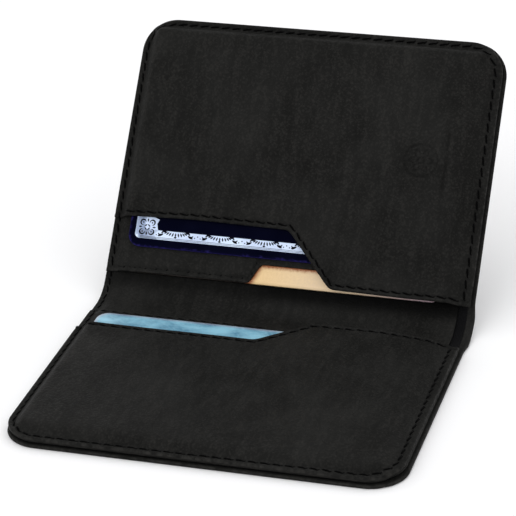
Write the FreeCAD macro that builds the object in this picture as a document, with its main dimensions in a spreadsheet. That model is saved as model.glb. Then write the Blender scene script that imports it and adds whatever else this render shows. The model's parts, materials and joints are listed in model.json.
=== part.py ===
import FreeCAD, Part
import Sketcher
import math
import os
import re

# A slim leather bifold card holder, folded part of the way open.  The near panel lies flat with its
# cover underneath; a curved spine carries the far panel, which leans up and away from it.
#
# Each panel is drawn flat in a frame of its own: X runs along the fold, Y is measured from the fold
# line (negative across the near panel, positive across the far one) and Z is the height over the
# cover's outer face.  A Placement then puts the panel where it belongs on the open holder.

DIMENSIONS = {
    "panel_width": 100.0,
    "near_length": 72.5,
    "far_length": 72.8,
    "corner_radius": 9.5,
    "fold_angle": 50.4,
    "spine_radius": 12.53,
    "fold_gap": 0.55,
    "cover_thick": 1.0,
    "note_lining_thick": 0.3,
    "note_space": 0.3,
    "inner_thick": 0.5,
    "inner_setback": 1.8,
    "inner_inset": 0.3,
    "note_lining_inset": 0.7,
    "note_lining_setback": 1.5,
    "seam_band": 3.5,
    "spine_inner_short": 4.3,
    "film_thick": 0.1,
    "film_inset": 4.7,
    "pocket_back_thick": 0.7,
    "pocket_back_start": 4.5,
    "pocket_lining_thick": 0.2,
    "card_space": 0.96,
    "near_front_thick": 1.1,
    "near_rim_thick": 0.7,
    "near_raised_inset": 2.9,
    "near_cavity_inset": 3.6,
    "middle_thick": 0.5,
    "middle_rim_thick": 0.65,
    "middle_raised_inset": 4.0,
    "middle_cavity_inset": 4.5,
    "front_thick": 0.6,
    "front_rim_thick": 0.75,
    "front_raised_inset": 2.9,
    "front_cavity_inset": 3.7,
    "front_lining_inset": 3.9,
    "front_lining_setback": 2.2,
    "raised_bevel": 0.9,
    "cover_bevel": 0.25,
    "near_mouth_low": 15.2,
    "near_mouth_high": 4.0,
    "near_mouth_knee": -1.5,
    "near_mouth_foot": 11.0,
    "middle_mouth_low": 1.6,
    "middle_mouth_high": 6.9,
    "middle_mouth_knee": -9.7,
    "middle_mouth_foot": -7.2,
    "front_mouth_low": 1.6,
    "front_mouth_high": 16.5,
    "front_mouth_knee": -0.8,
    "front_mouth_foot": 12.3,
    "card_width": 85.6,
    "card_height": 53.98,
    "card_thick": 0.76,
    "card_corner": 3.18,
    "card_float": 0.1,
    "blue_card_left": 4.5,
    "blue_card_edge": 7.9,
    "navy_card_left": 5.8,
    "navy_card_edge": 8.5,
    "gold_card_left": 6.1,
    "gold_card_edge": 1.7,
    "stitch_pitch": 3.0,
    "stitch_length": 2.2,
    "stitch_width": 0.45,
    "stitch_high": 0.2,
    "flush_stitch_high": 0.05,
    "seam_inset": 1.7,
    "mouth_seam_inset": 1.2,
    "back_edge_seam": 5.4,
    "stop_seam": 60.5,
    "stop_seam_post": 0.5,
    "mark_centre_x": 31.5,
    "mark_centre_y": 38.3,
    "mark_ring_radius": 4.2,
    "mark_ring_width": 0.7,
    "mark_hub_radius": 1.5,
    "mark_depth": 0.12,
}

document = FreeCAD.newDocument("card_holder")
sheet = document.addObject("Spreadsheet::Sheet", "Sizes")
for row, (alias, size) in enumerate(DIMENSIONS.items(), start=1):
    sheet.set(f"A{row}", alias)
    sheet.set(f"B{row}", str(size))
    sheet.setAlias(f"B{row}", alias)
document.recompute()

NEAR = "near"
FAR = "far"
SPINE = "spine"
LENGTH = {NEAR: "near_length", FAR: "far_length"}
SIGN = {NEAR: "-1", FAR: "1"}
parts = []


# ---------------------------------------------------------------------------- sizes from the sheet

def linked(expression):
    """The expression with every alias read from the sheet."""
    return re.sub(
        r"[a-z_]+",
        lambda word: f"Sizes.{word.group()}" if word.group() in DIMENSIONS else word.group(),
        str(expression),
    )


def value(expression):
    """What an expression of aliases comes to."""
    return float(sheet.evalExpression(linked(expression)))


def from_fold(side, distance):
    """The Y of a point at a distance from the fold line on one panel."""
    return f"{SIGN[side]} * ({distance})"


# Heights over the cover's outer face, from the outside to the card pockets.
NOTE_LINING_BASE = "cover_thick"
NOTE_BASE = "(cover_thick + note_lining_thick)"
INNER_BASE = f"({NOTE_BASE} + note_space)"
INNER_TOP = f"({INNER_BASE} + inner_thick)"
NEAR_FRONT_BASE = f"({INNER_TOP} + pocket_back_thick)"
FAR_LINING_BASE = f"({INNER_TOP} + film_thick)"
GOLD_BASE = f"({FAR_LINING_BASE} + pocket_lining_thick)"
MIDDLE_TOP = f"({GOLD_BASE} + card_space + middle_thick)"
MIDDLE_RIM_TOP = f"({INNER_TOP} + middle_rim_thick)"
FRONT_LINING_BASE = f"({MIDDLE_TOP} + card_space)"
FRONT_BASE = f"({FRONT_LINING_BASE} + pocket_lining_thick)"
FRONT_TOP = f"({FRONT_BASE} + front_thick)"
FRONT_RIM_TOP = f"({MIDDLE_RIM_TOP} + front_rim_thick)"
NEAR_FRONT_TOP = f"({NEAR_FRONT_BASE} + card_space + near_front_thick)"
NEAR_RIM_TOP = f"({NEAR_FRONT_BASE} + near_rim_thick)"


# ------------------------------------------------------------------------------ places and bodies

def place(part, side):
    """Put a part drawn in its panel's flat frame where it belongs on the open holder."""
    part.setExpression("Placement.Base.y", linked("near_length / 2"))
    if side == FAR:
        along = "near_length / 2 + spine_radius * sin(fold_angle)"
        up = "spine_radius * (1 - cos(fold_angle))"
        turn = FreeCAD.Rotation(FreeCAD.Vector(1, 0, 0), value("fold_angle"))
        part.Placement = FreeCAD.Placement(FreeCAD.Vector(0, 0, 0), turn)
        part.setExpression("Placement.Base.y", linked(along))
        part.setExpression("Placement.Base.z", linked(up))
        part.setExpression("Placement.Rotation.Angle", linked("fold_angle"))
    parts.append(part)


def new_body(label, side):
    body = document.addObject("PartDesign::Body", label)
    body.Label = label
    place(body, side)
    return body


def plane_of(body, role):
    return next(item for item in body.Origin.OriginFeatures if item.Role == role)


def new_sketch(body, name, role, offset):
    """A sketch on one of the body's origin planes, moved along that plane's normal."""
    sketch = body.newObject("Sketcher::SketchObject", f"{body.Label}_{name}")
    sketch.AttachmentSupport = (plane_of(body, role), [""])
    sketch.MapMode = "FlatFace"
    sketch.setExpression("AttachmentOffset.Base.z", linked(offset))
    return sketch


def pad(body, name, sketch, depth):
    feature = body.newObject("PartDesign::Pad", f"{body.Label}_{name}")
    feature.Profile = sketch
    feature.setExpression("Length", linked(depth))
    document.recompute()
    return feature


def pocket_up(body, name, sketch, depth):
    """Cut upwards from a sketch, and make sure that something was cut."""
    before = body.Shape.Volume
    feature = body.newObject("PartDesign::Pocket", f"{body.Label}_{name}")
    feature.Profile = sketch
    feature.Reversed = True
    feature.setExpression("Length", linked(depth))
    document.recompute()
    if body.Shape.Volume > before - 0.01:
        raise RuntimeError(f"{feature.Label} cuts nothing")
    return feature


def bevel(body, name, wanted, size):
    """Chamfer the edges of the body's last feature that a test picks."""
    base = body.Tip
    picked = [
        f"Edge{index}" for index, edge in enumerate(base.Shape.Edges, start=1) if wanted(edge)
    ]
    feature = body.newObject("PartDesign::Chamfer", f"{body.Label}_{name}")
    feature.Base = (base, picked)
    feature.setExpression("Size", linked(size))
    document.recompute()
    return feature


# ---------------------------------------------------------------------------------------- outlines

def fix_point(sketch, geometry, end, x, y):
    """Hold one point of a sketch at X and Y from its origin."""
    for kind, distance in (("DistanceX", x), ("DistanceY", y)):
        constraint = Sketcher.Constraint(kind, -1, 1, geometry, end, value(distance))
        index = sketch.addConstraint(constraint)
        sketch.setExpression(f"Constraints[{index}]", linked(distance))


def unit(start, finish):
    step = finish - start
    return step / step.Length


def draw_outline(sketch, corners):
    """A closed outline through (x, y) corners, or (x, y, radius) where two square edges are rounded."""
    spots = [FreeCAD.Vector(value(corner[0]), value(corner[1]), 0) for corner in corners]
    count = len(corners)
    entries, exits, arcs = [], [], {}
    for number, corner in enumerate(corners):
        spot = spots[number]
        if len(corner) == 2:
            entries.append(spot)
            exits.append(spot)
            continue
        radius = value(corner[2])
        back = unit(spot, spots[number - 1])
        ahead = unit(spot, spots[(number + 1) % count])
        centre = spot + back * radius + ahead * radius
        entries.append(spot + back * radius)
        exits.append(spot + ahead * radius)
        left_turn = back.cross(ahead).z < 0
        first, last = (entries[-1], exits[-1]) if left_turn else (exits[-1], entries[-1])
        angles = [math.atan2(point.y - centre.y, point.x - centre.x) for point in (first, last)]
        circle = Part.Circle(centre, FreeCAD.Vector(0, 0, 1), radius)
        arc = sketch.addGeometry(Part.ArcOfCircle(circle, angles[0], angles[1]))
        inward = back + ahead
        x = f"{corner[0]} {'+' if inward.x > 0 else '-'} ({corner[2]})"
        y = f"{corner[1]} {'+' if inward.y > 0 else '-'} ({corner[2]})"
        fix_point(sketch, arc, 3, x, y)
        index = sketch.addConstraint(Sketcher.Constraint("Radius", arc, radius))
        sketch.setExpression(f"Constraints[{index}]", linked(corner[2]))
        arcs[number] = (arc, left_turn)
    lines = [
        sketch.addGeometry(Part.LineSegment(exits[number], entries[(number + 1) % count]))
        for number in range(count)
    ]
    for number, corner in enumerate(corners):
        incoming, outgoing = lines[number - 1], lines[number]
        if number in arcs:
            arc, left_turn = arcs[number]
            enters, leaves = (1, 2) if left_turn else (2, 1)
            sketch.addConstraint(Sketcher.Constraint("Tangent", incoming, 2, arc, enters))
            sketch.addConstraint(Sketcher.Constraint("Tangent", arc, leaves, outgoing, 1))
        else:
            sketch.addConstraint(Sketcher.Constraint("Coincident", incoming, 2, outgoing, 1))
            fix_point(sketch, outgoing, 1, corner[0], corner[1])


def panel_corners(side, inset, start, mouth=None):
    """A panel layer's outline: square at the fold, rounded at its two outer corners.

    A mouth is the pocket's stepped opening: low or high on the left, a slant, then the right side.
    """
    left = f"-(panel_width / 2 - ({inset}))"
    right = f"(panel_width / 2 - ({inset}))"
    outer = from_fold(side, f"{LENGTH[side]} - ({inset})")
    radius = f"corner_radius - ({inset})"
    if mouth is None:
        opening = [(right, from_fold(side, start)), (left, from_fold(side, start))]
    else:
        left_start, knee, foot, right_start = mouth
        opening = [
            (right, from_fold(side, right_start)),
            (foot, from_fold(side, right_start)),
            (knee, from_fold(side, left_start)),
            (left, from_fold(side, left_start)),
        ]
    return opening + [(left, outer, radius), (right, outer, radius)]


def layer(label, side, inset, start, base, depth):
    """A flat layer of one panel as a body of its own."""
    body = new_body(label, side)
    sketch = new_sketch(body, "outline", "XY_Plane", base)
    draw_outline(sketch, panel_corners(side, inset, start))
    pad(body, "sheet", sketch, depth)
    return body


# --------------------------------------------------------------------------------- panels' layers

def cover(side):
    """Outer leather of one panel, with its outer face bevelled round the free edges."""
    body = layer(f"{side}_cover", side, "0", "fold_gap", "0", "cover_thick")
    reach = value(LENGTH[side]) - 0.01
    half = value("panel_width / 2") - 0.01

    def free_outer_edge(edge):
        middle = edge.valueAt((edge.FirstParameter + edge.LastParameter) / 2)
        at_fold = abs(middle.y) < 1
        low = all(abs(vertex.Z) < 0.001 for vertex in edge.Vertexes)
        upright = abs(middle.z) > 0.001
        return low and not upright and not at_fold and (
            abs(middle.x) > half or abs(middle.y) > reach - 11
        )

    bevel(body, "bevel", free_outer_edge, "cover_bevel")


def note_lining(side):
    """Thin fabric glued to the inside of the cover."""
    layer(
        f"{side}_note_lining", side, "note_lining_inset", "note_lining_setback", NOTE_LINING_BASE,
        "note_lining_thick",
    )


def inner_panel(side):
    """Leather wall between the notes and the card pockets.

    Its edge band comes down to the cover's lining on the left and at the outer end, where the seam
    closes the note compartment.  The right side stays open.
    """
    body = new_body(f"{side}_inner_panel", side)
    sketch = new_sketch(body, "outline", "XY_Plane", NOTE_BASE)
    draw_outline(sketch, panel_corners(side, "inner_inset", "inner_setback"))
    pad(body, "sheet", sketch, "note_space + inner_thick")
    left = "-(panel_width / 2 - seam_band)"
    right = "(panel_width / 2 + 1)"
    outer = from_fold(side, f"{LENGTH[side]} - seam_band")
    room = [
        (right, from_fold(side, "0")),
        (left, from_fold(side, "0")),
        (left, outer, "corner_radius - seam_band"),
        (right, outer),
    ]
    space = new_sketch(body, "note_space", "XY_Plane", NOTE_BASE)
    draw_outline(space, room)
    pocket_up(body, "note_compartment", space, "note_space")


def shielding_film(side):
    """Thin metal-coated film between the inner panel and the pockets."""
    layer(f"{side}_shielding_film", side, "film_inset", "film_inset + 2", INNER_TOP, "film_thick")


def tray(body, side, base, rim, inset, height, cavity_inset, cavity, mouth):
    """A pocket front: a thin sewn rim, a raised middle and the card's room cut in from below."""
    rim_sketch = new_sketch(body, "outline", "XY_Plane", base)
    draw_outline(rim_sketch, panel_corners(side, "inner_inset", "0", mouth))
    pad(body, "rim", rim_sketch, rim)
    raised_sketch = new_sketch(body, "raised_outline", "XY_Plane", base)
    draw_outline(raised_sketch, panel_corners(side, inset, "0", mouth))
    pad(body, "raised", raised_sketch, height)
    cavity_sketch = new_sketch(body, "room_outline", "XY_Plane", base)
    draw_outline(cavity_sketch, panel_corners(side, cavity_inset, "0"))
    pocket_up(body, "room", cavity_sketch, cavity)
    top = value(base) + value(height)
    side_x = value(f"panel_width / 2 - {inset}") - 0.01
    outer_y = value(f"{LENGTH[side]} - corner_radius") - 0.01

    def raised_edge(edge):
        middle = edge.valueAt((edge.FirstParameter + edge.LastParameter) / 2)
        on_top = all(abs(vertex.Z - top) < 0.001 for vertex in edge.Vertexes)
        return on_top and (abs(middle.x) > side_x or abs(middle.y) > outer_y)

    bevel(body, "slope", raised_edge, "raised_bevel")


# ------------------------------------------------------------------------------------ near pockets

NEAR_MOUTH = ("near_mouth_low", "near_mouth_knee", "near_mouth_foot", "near_mouth_high")
MIDDLE_MOUTH = ("middle_mouth_low", "middle_mouth_knee", "middle_mouth_foot", "middle_mouth_high")
FRONT_MOUTH = ("front_mouth_high", "front_mouth_knee", "front_mouth_foot", "front_mouth_low")


def near_pocket_back():
    """Leather back of the near card pocket, recessed underneath for the shielding film."""
    body = layer(
        "near_pocket_back", NEAR, "inner_inset", "pocket_back_start", INNER_TOP,
        "pocket_back_thick",
    )
    recess = new_sketch(body, "film_outline", "XY_Plane", INNER_TOP)
    draw_outline(recess, panel_corners(NEAR, "film_inset", "film_inset + 2"))
    pocket_up(body, "film_recess", recess, "film_thick")


def near_pocket_front():
    tray(
        new_body("near_pocket_front", NEAR), NEAR, NEAR_FRONT_BASE, "near_rim_thick",
        "near_raised_inset", "card_space + near_front_thick", "near_cavity_inset", "card_space",
        NEAR_MOUTH,
    )


# ------------------------------------------------------------------------------------- far pockets

def far_pocket_lining():
    """Fabric behind the gold card."""
    layer(
        "far_pocket_lining", FAR, "middle_cavity_inset + 0.1", "inner_setback", FAR_LINING_BASE,
        "pocket_lining_thick",
    )


def middle_pocket():
    tray(
        new_body("middle_pocket", FAR), FAR, INNER_TOP, "middle_rim_thick",
        "middle_raised_inset", f"{MIDDLE_TOP} - {INNER_TOP}", "middle_cavity_inset",
        f"{GOLD_BASE} + card_space - {INNER_TOP}", MIDDLE_MOUTH,
    )


def front_pocket():
    """The large pocket front, with the pressed ring mark in its outer face."""
    body = new_body("front_pocket", FAR)
    tray(
        body, FAR, MIDDLE_RIM_TOP, "front_rim_thick", "front_raised_inset",
        f"{FRONT_TOP} - {MIDDLE_RIM_TOP}", "front_cavity_inset",
        f"{FRONT_BASE} - {MIDDLE_RIM_TOP}", FRONT_MOUTH,
    )
    sketch = new_sketch(body, "mark_outline", "XY_Plane", f"{FRONT_TOP} - mark_depth")
    radii = ("mark_ring_radius", "mark_ring_radius - mark_ring_width", "mark_hub_radius")
    centre = FreeCAD.Vector(value("mark_centre_x"), value("mark_centre_y"), 0)
    for radius in radii:
        circle = Part.Circle(centre, FreeCAD.Vector(0, 0, 1), value(radius))
        drawn = sketch.addGeometry(circle)
        fix_point(sketch, drawn, 3, "mark_centre_x", "mark_centre_y")
        index = sketch.addConstraint(Sketcher.Constraint("Radius", drawn, value(radius)))
        sketch.setExpression(f"Constraints[{index}]", linked(radius))
    pocket_up(body, "pressed_mark", sketch, "mark_depth + 0.1")


def front_pocket_lining():
    """Fabric glued to the back of the front pocket's leather, held back from its mouth."""
    body = new_body("front_pocket_lining", FAR)
    sketch = new_sketch(body, "outline", "XY_Plane", FRONT_LINING_BASE)
    back_set = [f"{FRONT_MOUTH[0]} + front_lining_setback", FRONT_MOUTH[1], FRONT_MOUTH[2],
                f"{FRONT_MOUTH[3]} + front_lining_setback"]
    draw_outline(sketch, panel_corners(FAR, "front_lining_inset", "0", back_set))
    pad(body, "sheet", sketch, "pocket_lining_thick")


# ------------------------------------------------------------------------------------------- spine

def bent_strip(body, name, outer_gap, thick, start_x, width):
    """A strip bent round the spine: outer_gap lies between it and the cover's outer face."""
    sketch = new_sketch(body, name, "YZ_Plane", start_x)
    centre = FreeCAD.Vector(0, value("spine_radius"), 0)
    set_back = "fold_gap / (spine_radius - cover_thick / 2) * 180 / pi"
    first = -90 + value(set_back)
    last = -90 + value(f"fold_angle - {set_back}")
    radii = (f"spine_radius - {outer_gap}", f"spine_radius - {outer_gap} - {thick}")
    arcs = []
    for radius in radii:
        circle = Part.Circle(centre, FreeCAD.Vector(0, 0, 1), value(radius))
        span = (math.radians(first), math.radians(last))
        arcs.append(sketch.addGeometry(Part.ArcOfCircle(circle, span[0], span[1])))
    ends = []
    for end, angle in ((1, set_back), (2, f"fold_angle - {set_back}")):
        spots = []
        for arc, radius in zip(arcs, radii):
            y = f"({radius}) * sin({angle})"
            z = f"spine_radius - ({radius}) * cos({angle})"
            spots.append((arc, end, y, z))
        ends.append(spots)
    for arc, radius in zip(arcs, radii):
        fix_point(sketch, arc, 3, "0", "spine_radius")
        index = sketch.addConstraint(Sketcher.Constraint("Radius", arc, value(radius)))
        sketch.setExpression(f"Constraints[{index}]", linked(radius))
    for spots in ends:
        points = [FreeCAD.Vector(value(y), value(z), 0) for _, _, y, z in spots]
        line = sketch.addGeometry(Part.LineSegment(points[0], points[1]))
        for line_end, (arc, end, y, z) in enumerate(spots, start=1):
            sketch.addConstraint(Sketcher.Constraint("Coincident", line, line_end, arc, end))
            index = sketch.addConstraint(
                Sketcher.Constraint("DistanceX", -1, 1, arc, end, value(y))
            )
            sketch.setExpression(f"Constraints[{index}]", linked(y))
    pad(body, f"{name}_strip", sketch, width)


def spine_cover():
    body = new_body("spine_cover", SPINE)
    bent_strip(body, "arc", "0", "cover_thick", "-panel_width / 2", "panel_width")


def spine_note_lining():
    body = new_body("spine_note_lining", SPINE)
    bent_strip(
        body, "arc", "cover_thick", "note_lining_thick", "-panel_width / 2 + note_lining_inset",
        "panel_width - 2 * note_lining_inset",
    )


def spine_inner_panel():
    """Inner leather of the spine, sewn down on the left and stopping short of the right edge."""
    body = new_body("spine_inner_panel", SPINE)
    start = "-panel_width / 2 + inner_inset"
    bent_strip(
        body, "arc", "(cover_thick + note_lining_thick + note_space)", "inner_thick", start,
        "panel_width - inner_inset - spine_inner_short",
    )
    bent_strip(
        body, "band", "(cover_thick + note_lining_thick)", "note_space", start,
        "seam_band - inner_inset",
    )


# ------------------------------------------------------------------------------------------- cards

def card(label, side, left, edge, base):
    """A standard plastic card, lying with its long edge along the fold."""
    body = new_body(label, side)
    sketch = new_sketch(body, "outline", "XY_Plane", f"{base} + card_float")
    low_x = f"-(panel_width / 2) + {left}"
    high_x = f"{low_x} + card_width"
    near_y = from_fold(side, edge)
    far_y = from_fold(side, f"{edge} + card_height")
    radius = "card_corner"
    draw_outline(
        sketch,
        [(low_x, near_y, radius), (high_x, near_y, radius), (high_x, far_y, radius),
         (low_x, far_y, radius)],
    )
    pad(body, "sheet", sketch, "card_thick")


# --------------------------------------------------------------------------------------- stitching

def walk(runs, pitch):
    """Evenly spaced places along a path of straight runs and arcs, as (point, direction) pairs."""
    total = sum(run["length"] for run in runs)
    count = max(1, round(total / pitch))
    step = total / count
    places = []
    for number in range(count):
        along = (number + 0.5) * step
        for run in runs:
            if along <= run["length"]:
                places.append(run["at"](along))
                break
            along -= run["length"]
    return places


def straight(start, finish):
    """A straight run of stitching between two (x, y) points."""
    a, b = FreeCAD.Vector(*start, 0), FreeCAD.Vector(*finish, 0)
    direction = unit(a, b)
    return {"length": (b - a).Length, "at": lambda along: (a + direction * along, direction)}


def quarter(centre, radius, first, turn):
    """A quarter circle of stitching, from an angle in degrees, turning +90 or -90."""
    def at(along):
        angle = math.radians(first) + math.copysign(along / radius, turn)
        out = FreeCAD.Vector(math.cos(angle), math.sin(angle), 0)
        direction = FreeCAD.Vector(-out.y, out.x, 0) * math.copysign(1, turn)
        return FreeCAD.Vector(*centre, 0) + out * radius, direction
    return {"length": math.pi / 2 * radius, "at": at}


def thread(point, direction, base, high="stitch_high"):
    """One visible stitch: a short flat length of thread lying on the leather."""
    length, width, high = value("stitch_length"), value("stitch_width"), value(high)
    corner = FreeCAD.Vector(-length / 2, -width / 2, 0)
    box = Part.makeBox(length, width, high, corner)
    turn = math.degrees(math.atan2(direction.y, direction.x))
    box.Placement = FreeCAD.Placement(
        FreeCAD.Vector(point.x, point.y, base), FreeCAD.Rotation(FreeCAD.Vector(0, 0, 1), turn)
    )
    return box


def stitching(label, side, threads):
    """A row of stitches as one part, made of separate solids."""
    row = document.addObject("Part::Feature", label)
    row.Label = label
    row.Shape = Part.makeCompound(threads)
    place(row, side)


def flush_row(run, base):
    """A straight row of stitches pressed almost flush, where a card slides over them."""
    places = walk([run], value("stitch_pitch"))
    return [thread(point, way, base, "flush_stitch_high") for point, way in places]


def perimeter(side, left_start, right_start, base):
    """Stitches round a panel's three free sides, lying on its sewn rim."""
    inset = value("seam_inset")
    half = value("panel_width / 2") - inset
    sign = float(SIGN[side])
    outer = sign * (value(LENGTH[side]) - inset)
    radius = value("corner_radius") - inset
    runs = [
        straight((-half, sign * left_start), (-half, outer - sign * radius)),
        quarter((-half + radius, outer - sign * radius), radius, 180, -90 * sign),
        straight((-half + radius, outer), (half - radius, outer)),
        quarter((half - radius, outer - sign * radius), radius, 90 * sign, -90 * sign),
        straight((half, outer - sign * radius), (half, sign * right_start)),
    ]
    return [thread(point, way, base) for point, way in walk(runs, value("stitch_pitch"))]


def along_mouth(side, mouth, side_inset, base):
    """Stitches that follow a pocket's mouth a little inside its edge."""
    low, knee, foot, high = (value(term) for term in mouth)
    sign = float(SIGN[side])
    back = value("mouth_seam_inset")
    half = value(f"panel_width / 2 - {side_inset}") - value("stitch_length")
    slope = math.atan2(high - low, foot - knee)
    shift = back * math.tan(slope / 2)
    points = [
        (-half, sign * (low + back)), (knee - shift, sign * (low + back)),
        (foot - shift, sign * (high + back)), (half, sign * (high + back)),
    ]
    threads = []
    for start, finish in zip(points, points[1:]):
        for point, way in walk([straight(start, finish)], value("stitch_pitch")):
            threads.append(thread(point, way, base))
    return threads


def near_stitching():
    rim = value(NEAR_RIM_TOP)
    clear = 2.5
    low, high = value("near_mouth_low"), value("near_mouth_high")
    stitching("near_perimeter_stitching", NEAR, perimeter(NEAR, low + clear, high + clear, rim))
    top = value(NEAR_FRONT_TOP)
    mouth = along_mouth(NEAR, NEAR_MOUTH, "near_raised_inset + raised_bevel", top)
    stitching("near_mouth_stitching", NEAR, mouth)
    edge = -value("back_edge_seam")
    half = value("panel_width / 2") - value("seam_inset")
    reach = value("near_mouth_knee")
    run = straight((-half, edge), (reach, edge))
    stitching("near_back_edge_stitching", NEAR, flush_row(run, value(NEAR_FRONT_BASE)))


def far_stitching():
    clear = 2.5
    start = value("front_mouth_high") + clear
    finish = value("front_mouth_low") + clear
    rim = value(FRONT_RIM_TOP)
    stitching("far_perimeter_stitching", FAR, perimeter(FAR, start, finish, rim))
    top = value(FRONT_TOP)
    front = along_mouth(FAR, FRONT_MOUTH, "front_raised_inset + raised_bevel", top)
    stitching("front_mouth_stitching", FAR, front)
    low = value("middle_mouth_low + mouth_seam_inset")
    left = -value("panel_width / 2 - middle_raised_inset - raised_bevel - 1")
    run = straight((left, low), (value("middle_mouth_knee"), low))
    stitching("middle_mouth_stitching", FAR, flush_row(run, value(MIDDLE_TOP)))


def stop_seam():
    """The row of threads through the middle pocket that stops the gold card."""
    half = value("panel_width / 2 - middle_cavity_inset") - 1
    across = value("stop_seam")
    base, top = value(GOLD_BASE), value(f"{GOLD_BASE} + card_space")
    radius = value("stop_seam_post") / 2
    run = straight((-half, across), (half, across))
    posts = [
        Part.makeCylinder(radius, top - base, FreeCAD.Vector(point.x, point.y, base))
        for point, _ in walk([run], value("stitch_pitch"))
    ]
    stitching("middle_pocket_stop_seam", FAR, posts)


def spine_side_stitching():
    """Stitches that carry the left edge's seam round the spine."""
    x = -(value("panel_width / 2") - value("seam_inset"))
    radius = value("spine_radius - cover_thick - note_lining_thick - note_space - inner_thick")
    length, width, high = value("stitch_length"), value("stitch_width"), value("stitch_high")
    count = 3
    threads = []
    for number in range(count):
        angle = value("fold_angle") * (number + 0.5) / count
        box = Part.makeBox(width, length, high, FreeCAD.Vector(-width / 2, -length / 2, 0))
        turn = FreeCAD.Rotation(FreeCAD.Vector(1, 0, 0), angle)
        sagitta = radius - math.sqrt(radius**2 - (length / 2) ** 2)
        reach = radius - sagitta
        spot = FreeCAD.Vector(
            x,
            reach * math.sin(math.radians(angle)),
            value("spine_radius") - reach * math.cos(math.radians(angle)),
        )
        box.Placement = FreeCAD.Placement(spot, turn)
        threads.append(box)
    stitching("spine_side_stitching", SPINE, threads)


# --------------------------------------------------------------------------------------- the model

for panel in (NEAR, FAR):
    cover(panel)
    note_lining(panel)
    inner_panel(panel)
    shielding_film(panel)
near_pocket_back()
near_pocket_front()
far_pocket_lining()
middle_pocket()
front_pocket()
front_pocket_lining()
spine_cover()
spine_note_lining()
spine_inner_panel()
card("blue_card", NEAR, "blue_card_left", "blue_card_edge", NEAR_FRONT_BASE)
card("gold_card", FAR, "gold_card_left", "gold_card_edge", GOLD_BASE)
card("navy_card", FAR, "navy_card_left", "navy_card_edge", MIDDLE_TOP)
near_stitching()
far_stitching()
stop_seam()
spine_side_stitching()

document.recompute()
for item in document.Objects:
    if "Invalid" in item.State or "Error" in item.State:
        raise RuntimeError(f"{item.Label} failed: {item.State}")
for part in parts:
    if part.Shape.isNull() or not part.Shape.isValid():
        raise RuntimeError(f"{part.Label} has no valid shape")
os.makedirs("parts", exist_ok=True)
for part in parts:
    part.Shape.exportStep(f"parts/{part.Label}.step")
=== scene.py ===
import json
import logging
import math
from dataclasses import dataclass, field
from enum import Enum
from typing import Callable, Optional, Sequence

import bpy
import numpy as np
from mathutils import Matrix, Vector


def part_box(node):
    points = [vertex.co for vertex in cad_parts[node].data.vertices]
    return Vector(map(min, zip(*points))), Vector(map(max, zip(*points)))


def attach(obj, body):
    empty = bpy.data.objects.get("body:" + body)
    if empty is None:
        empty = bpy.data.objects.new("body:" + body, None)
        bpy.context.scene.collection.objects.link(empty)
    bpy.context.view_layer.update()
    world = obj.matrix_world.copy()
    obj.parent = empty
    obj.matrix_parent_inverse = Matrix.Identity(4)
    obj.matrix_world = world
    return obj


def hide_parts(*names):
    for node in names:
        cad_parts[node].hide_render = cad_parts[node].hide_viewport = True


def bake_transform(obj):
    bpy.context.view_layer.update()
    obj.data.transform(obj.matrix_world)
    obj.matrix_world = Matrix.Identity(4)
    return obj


# A slim black leather card holder, open part of the way, with three cards in its pockets.
# Sizes are in millimetres until a mesh is made.  Each panel is described by x along the fold,
# s away from the fold line and h over the cover's outer face; s runs on below zero round half
# the spine.

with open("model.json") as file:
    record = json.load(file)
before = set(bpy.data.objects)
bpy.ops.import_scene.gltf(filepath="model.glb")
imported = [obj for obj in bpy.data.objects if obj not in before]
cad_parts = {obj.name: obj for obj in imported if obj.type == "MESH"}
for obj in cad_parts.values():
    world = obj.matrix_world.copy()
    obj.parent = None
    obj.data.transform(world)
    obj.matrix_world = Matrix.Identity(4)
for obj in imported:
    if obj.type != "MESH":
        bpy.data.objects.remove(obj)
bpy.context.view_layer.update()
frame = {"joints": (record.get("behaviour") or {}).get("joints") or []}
MM = 0.001
LOG = logging.getLogger("card_holder")
Array = np.ndarray
Surface = Callable[[Array, Array], Array]


class Side(Enum):
    """The two panels of the holder."""

    NEAR = "near_panel"
    FAR = "far_panel"


class Slot(Enum):
    """The finishes that the record names."""

    LEATHER = "black_leather"
    LINING = "lining_fabric"
    FILM = "shielding_film"
    THREAD = "black_thread"
    BLUE = "blue_card"
    GOLD = "gold_card"
    NAVY = "navy_card"


# ---- small maths

def ramp(low: float, high: float, value: Array) -> Array:
    """A smooth step.

    Args:
        low: Where the step starts, at 0.
        high: Where it ends, at 1.
        value: The values to step.

    Returns:
        The step's height for each value.
    """
    part = np.clip((value - low) / (high - low), 0.0, 1.0)
    return part * part * (3.0 - 2.0 * part)


def hump(value: Array, centre: float, width: float) -> Array:
    """A bell of height 1 about a centre.

    Args:
        value: The values.
        centre: Where the bell stands.
        width: Its half width, where it has fallen to 0.37.

    Returns:
        The bell's height for each value.
    """
    return np.exp(-(((value - centre) / width) ** 2))


def blend_values(low: Array, high: Array, share: Array) -> Array:
    """low where share is 0 and high where it is 1."""
    return low + (high - low) * share


# ---- the holder's shape

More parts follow.
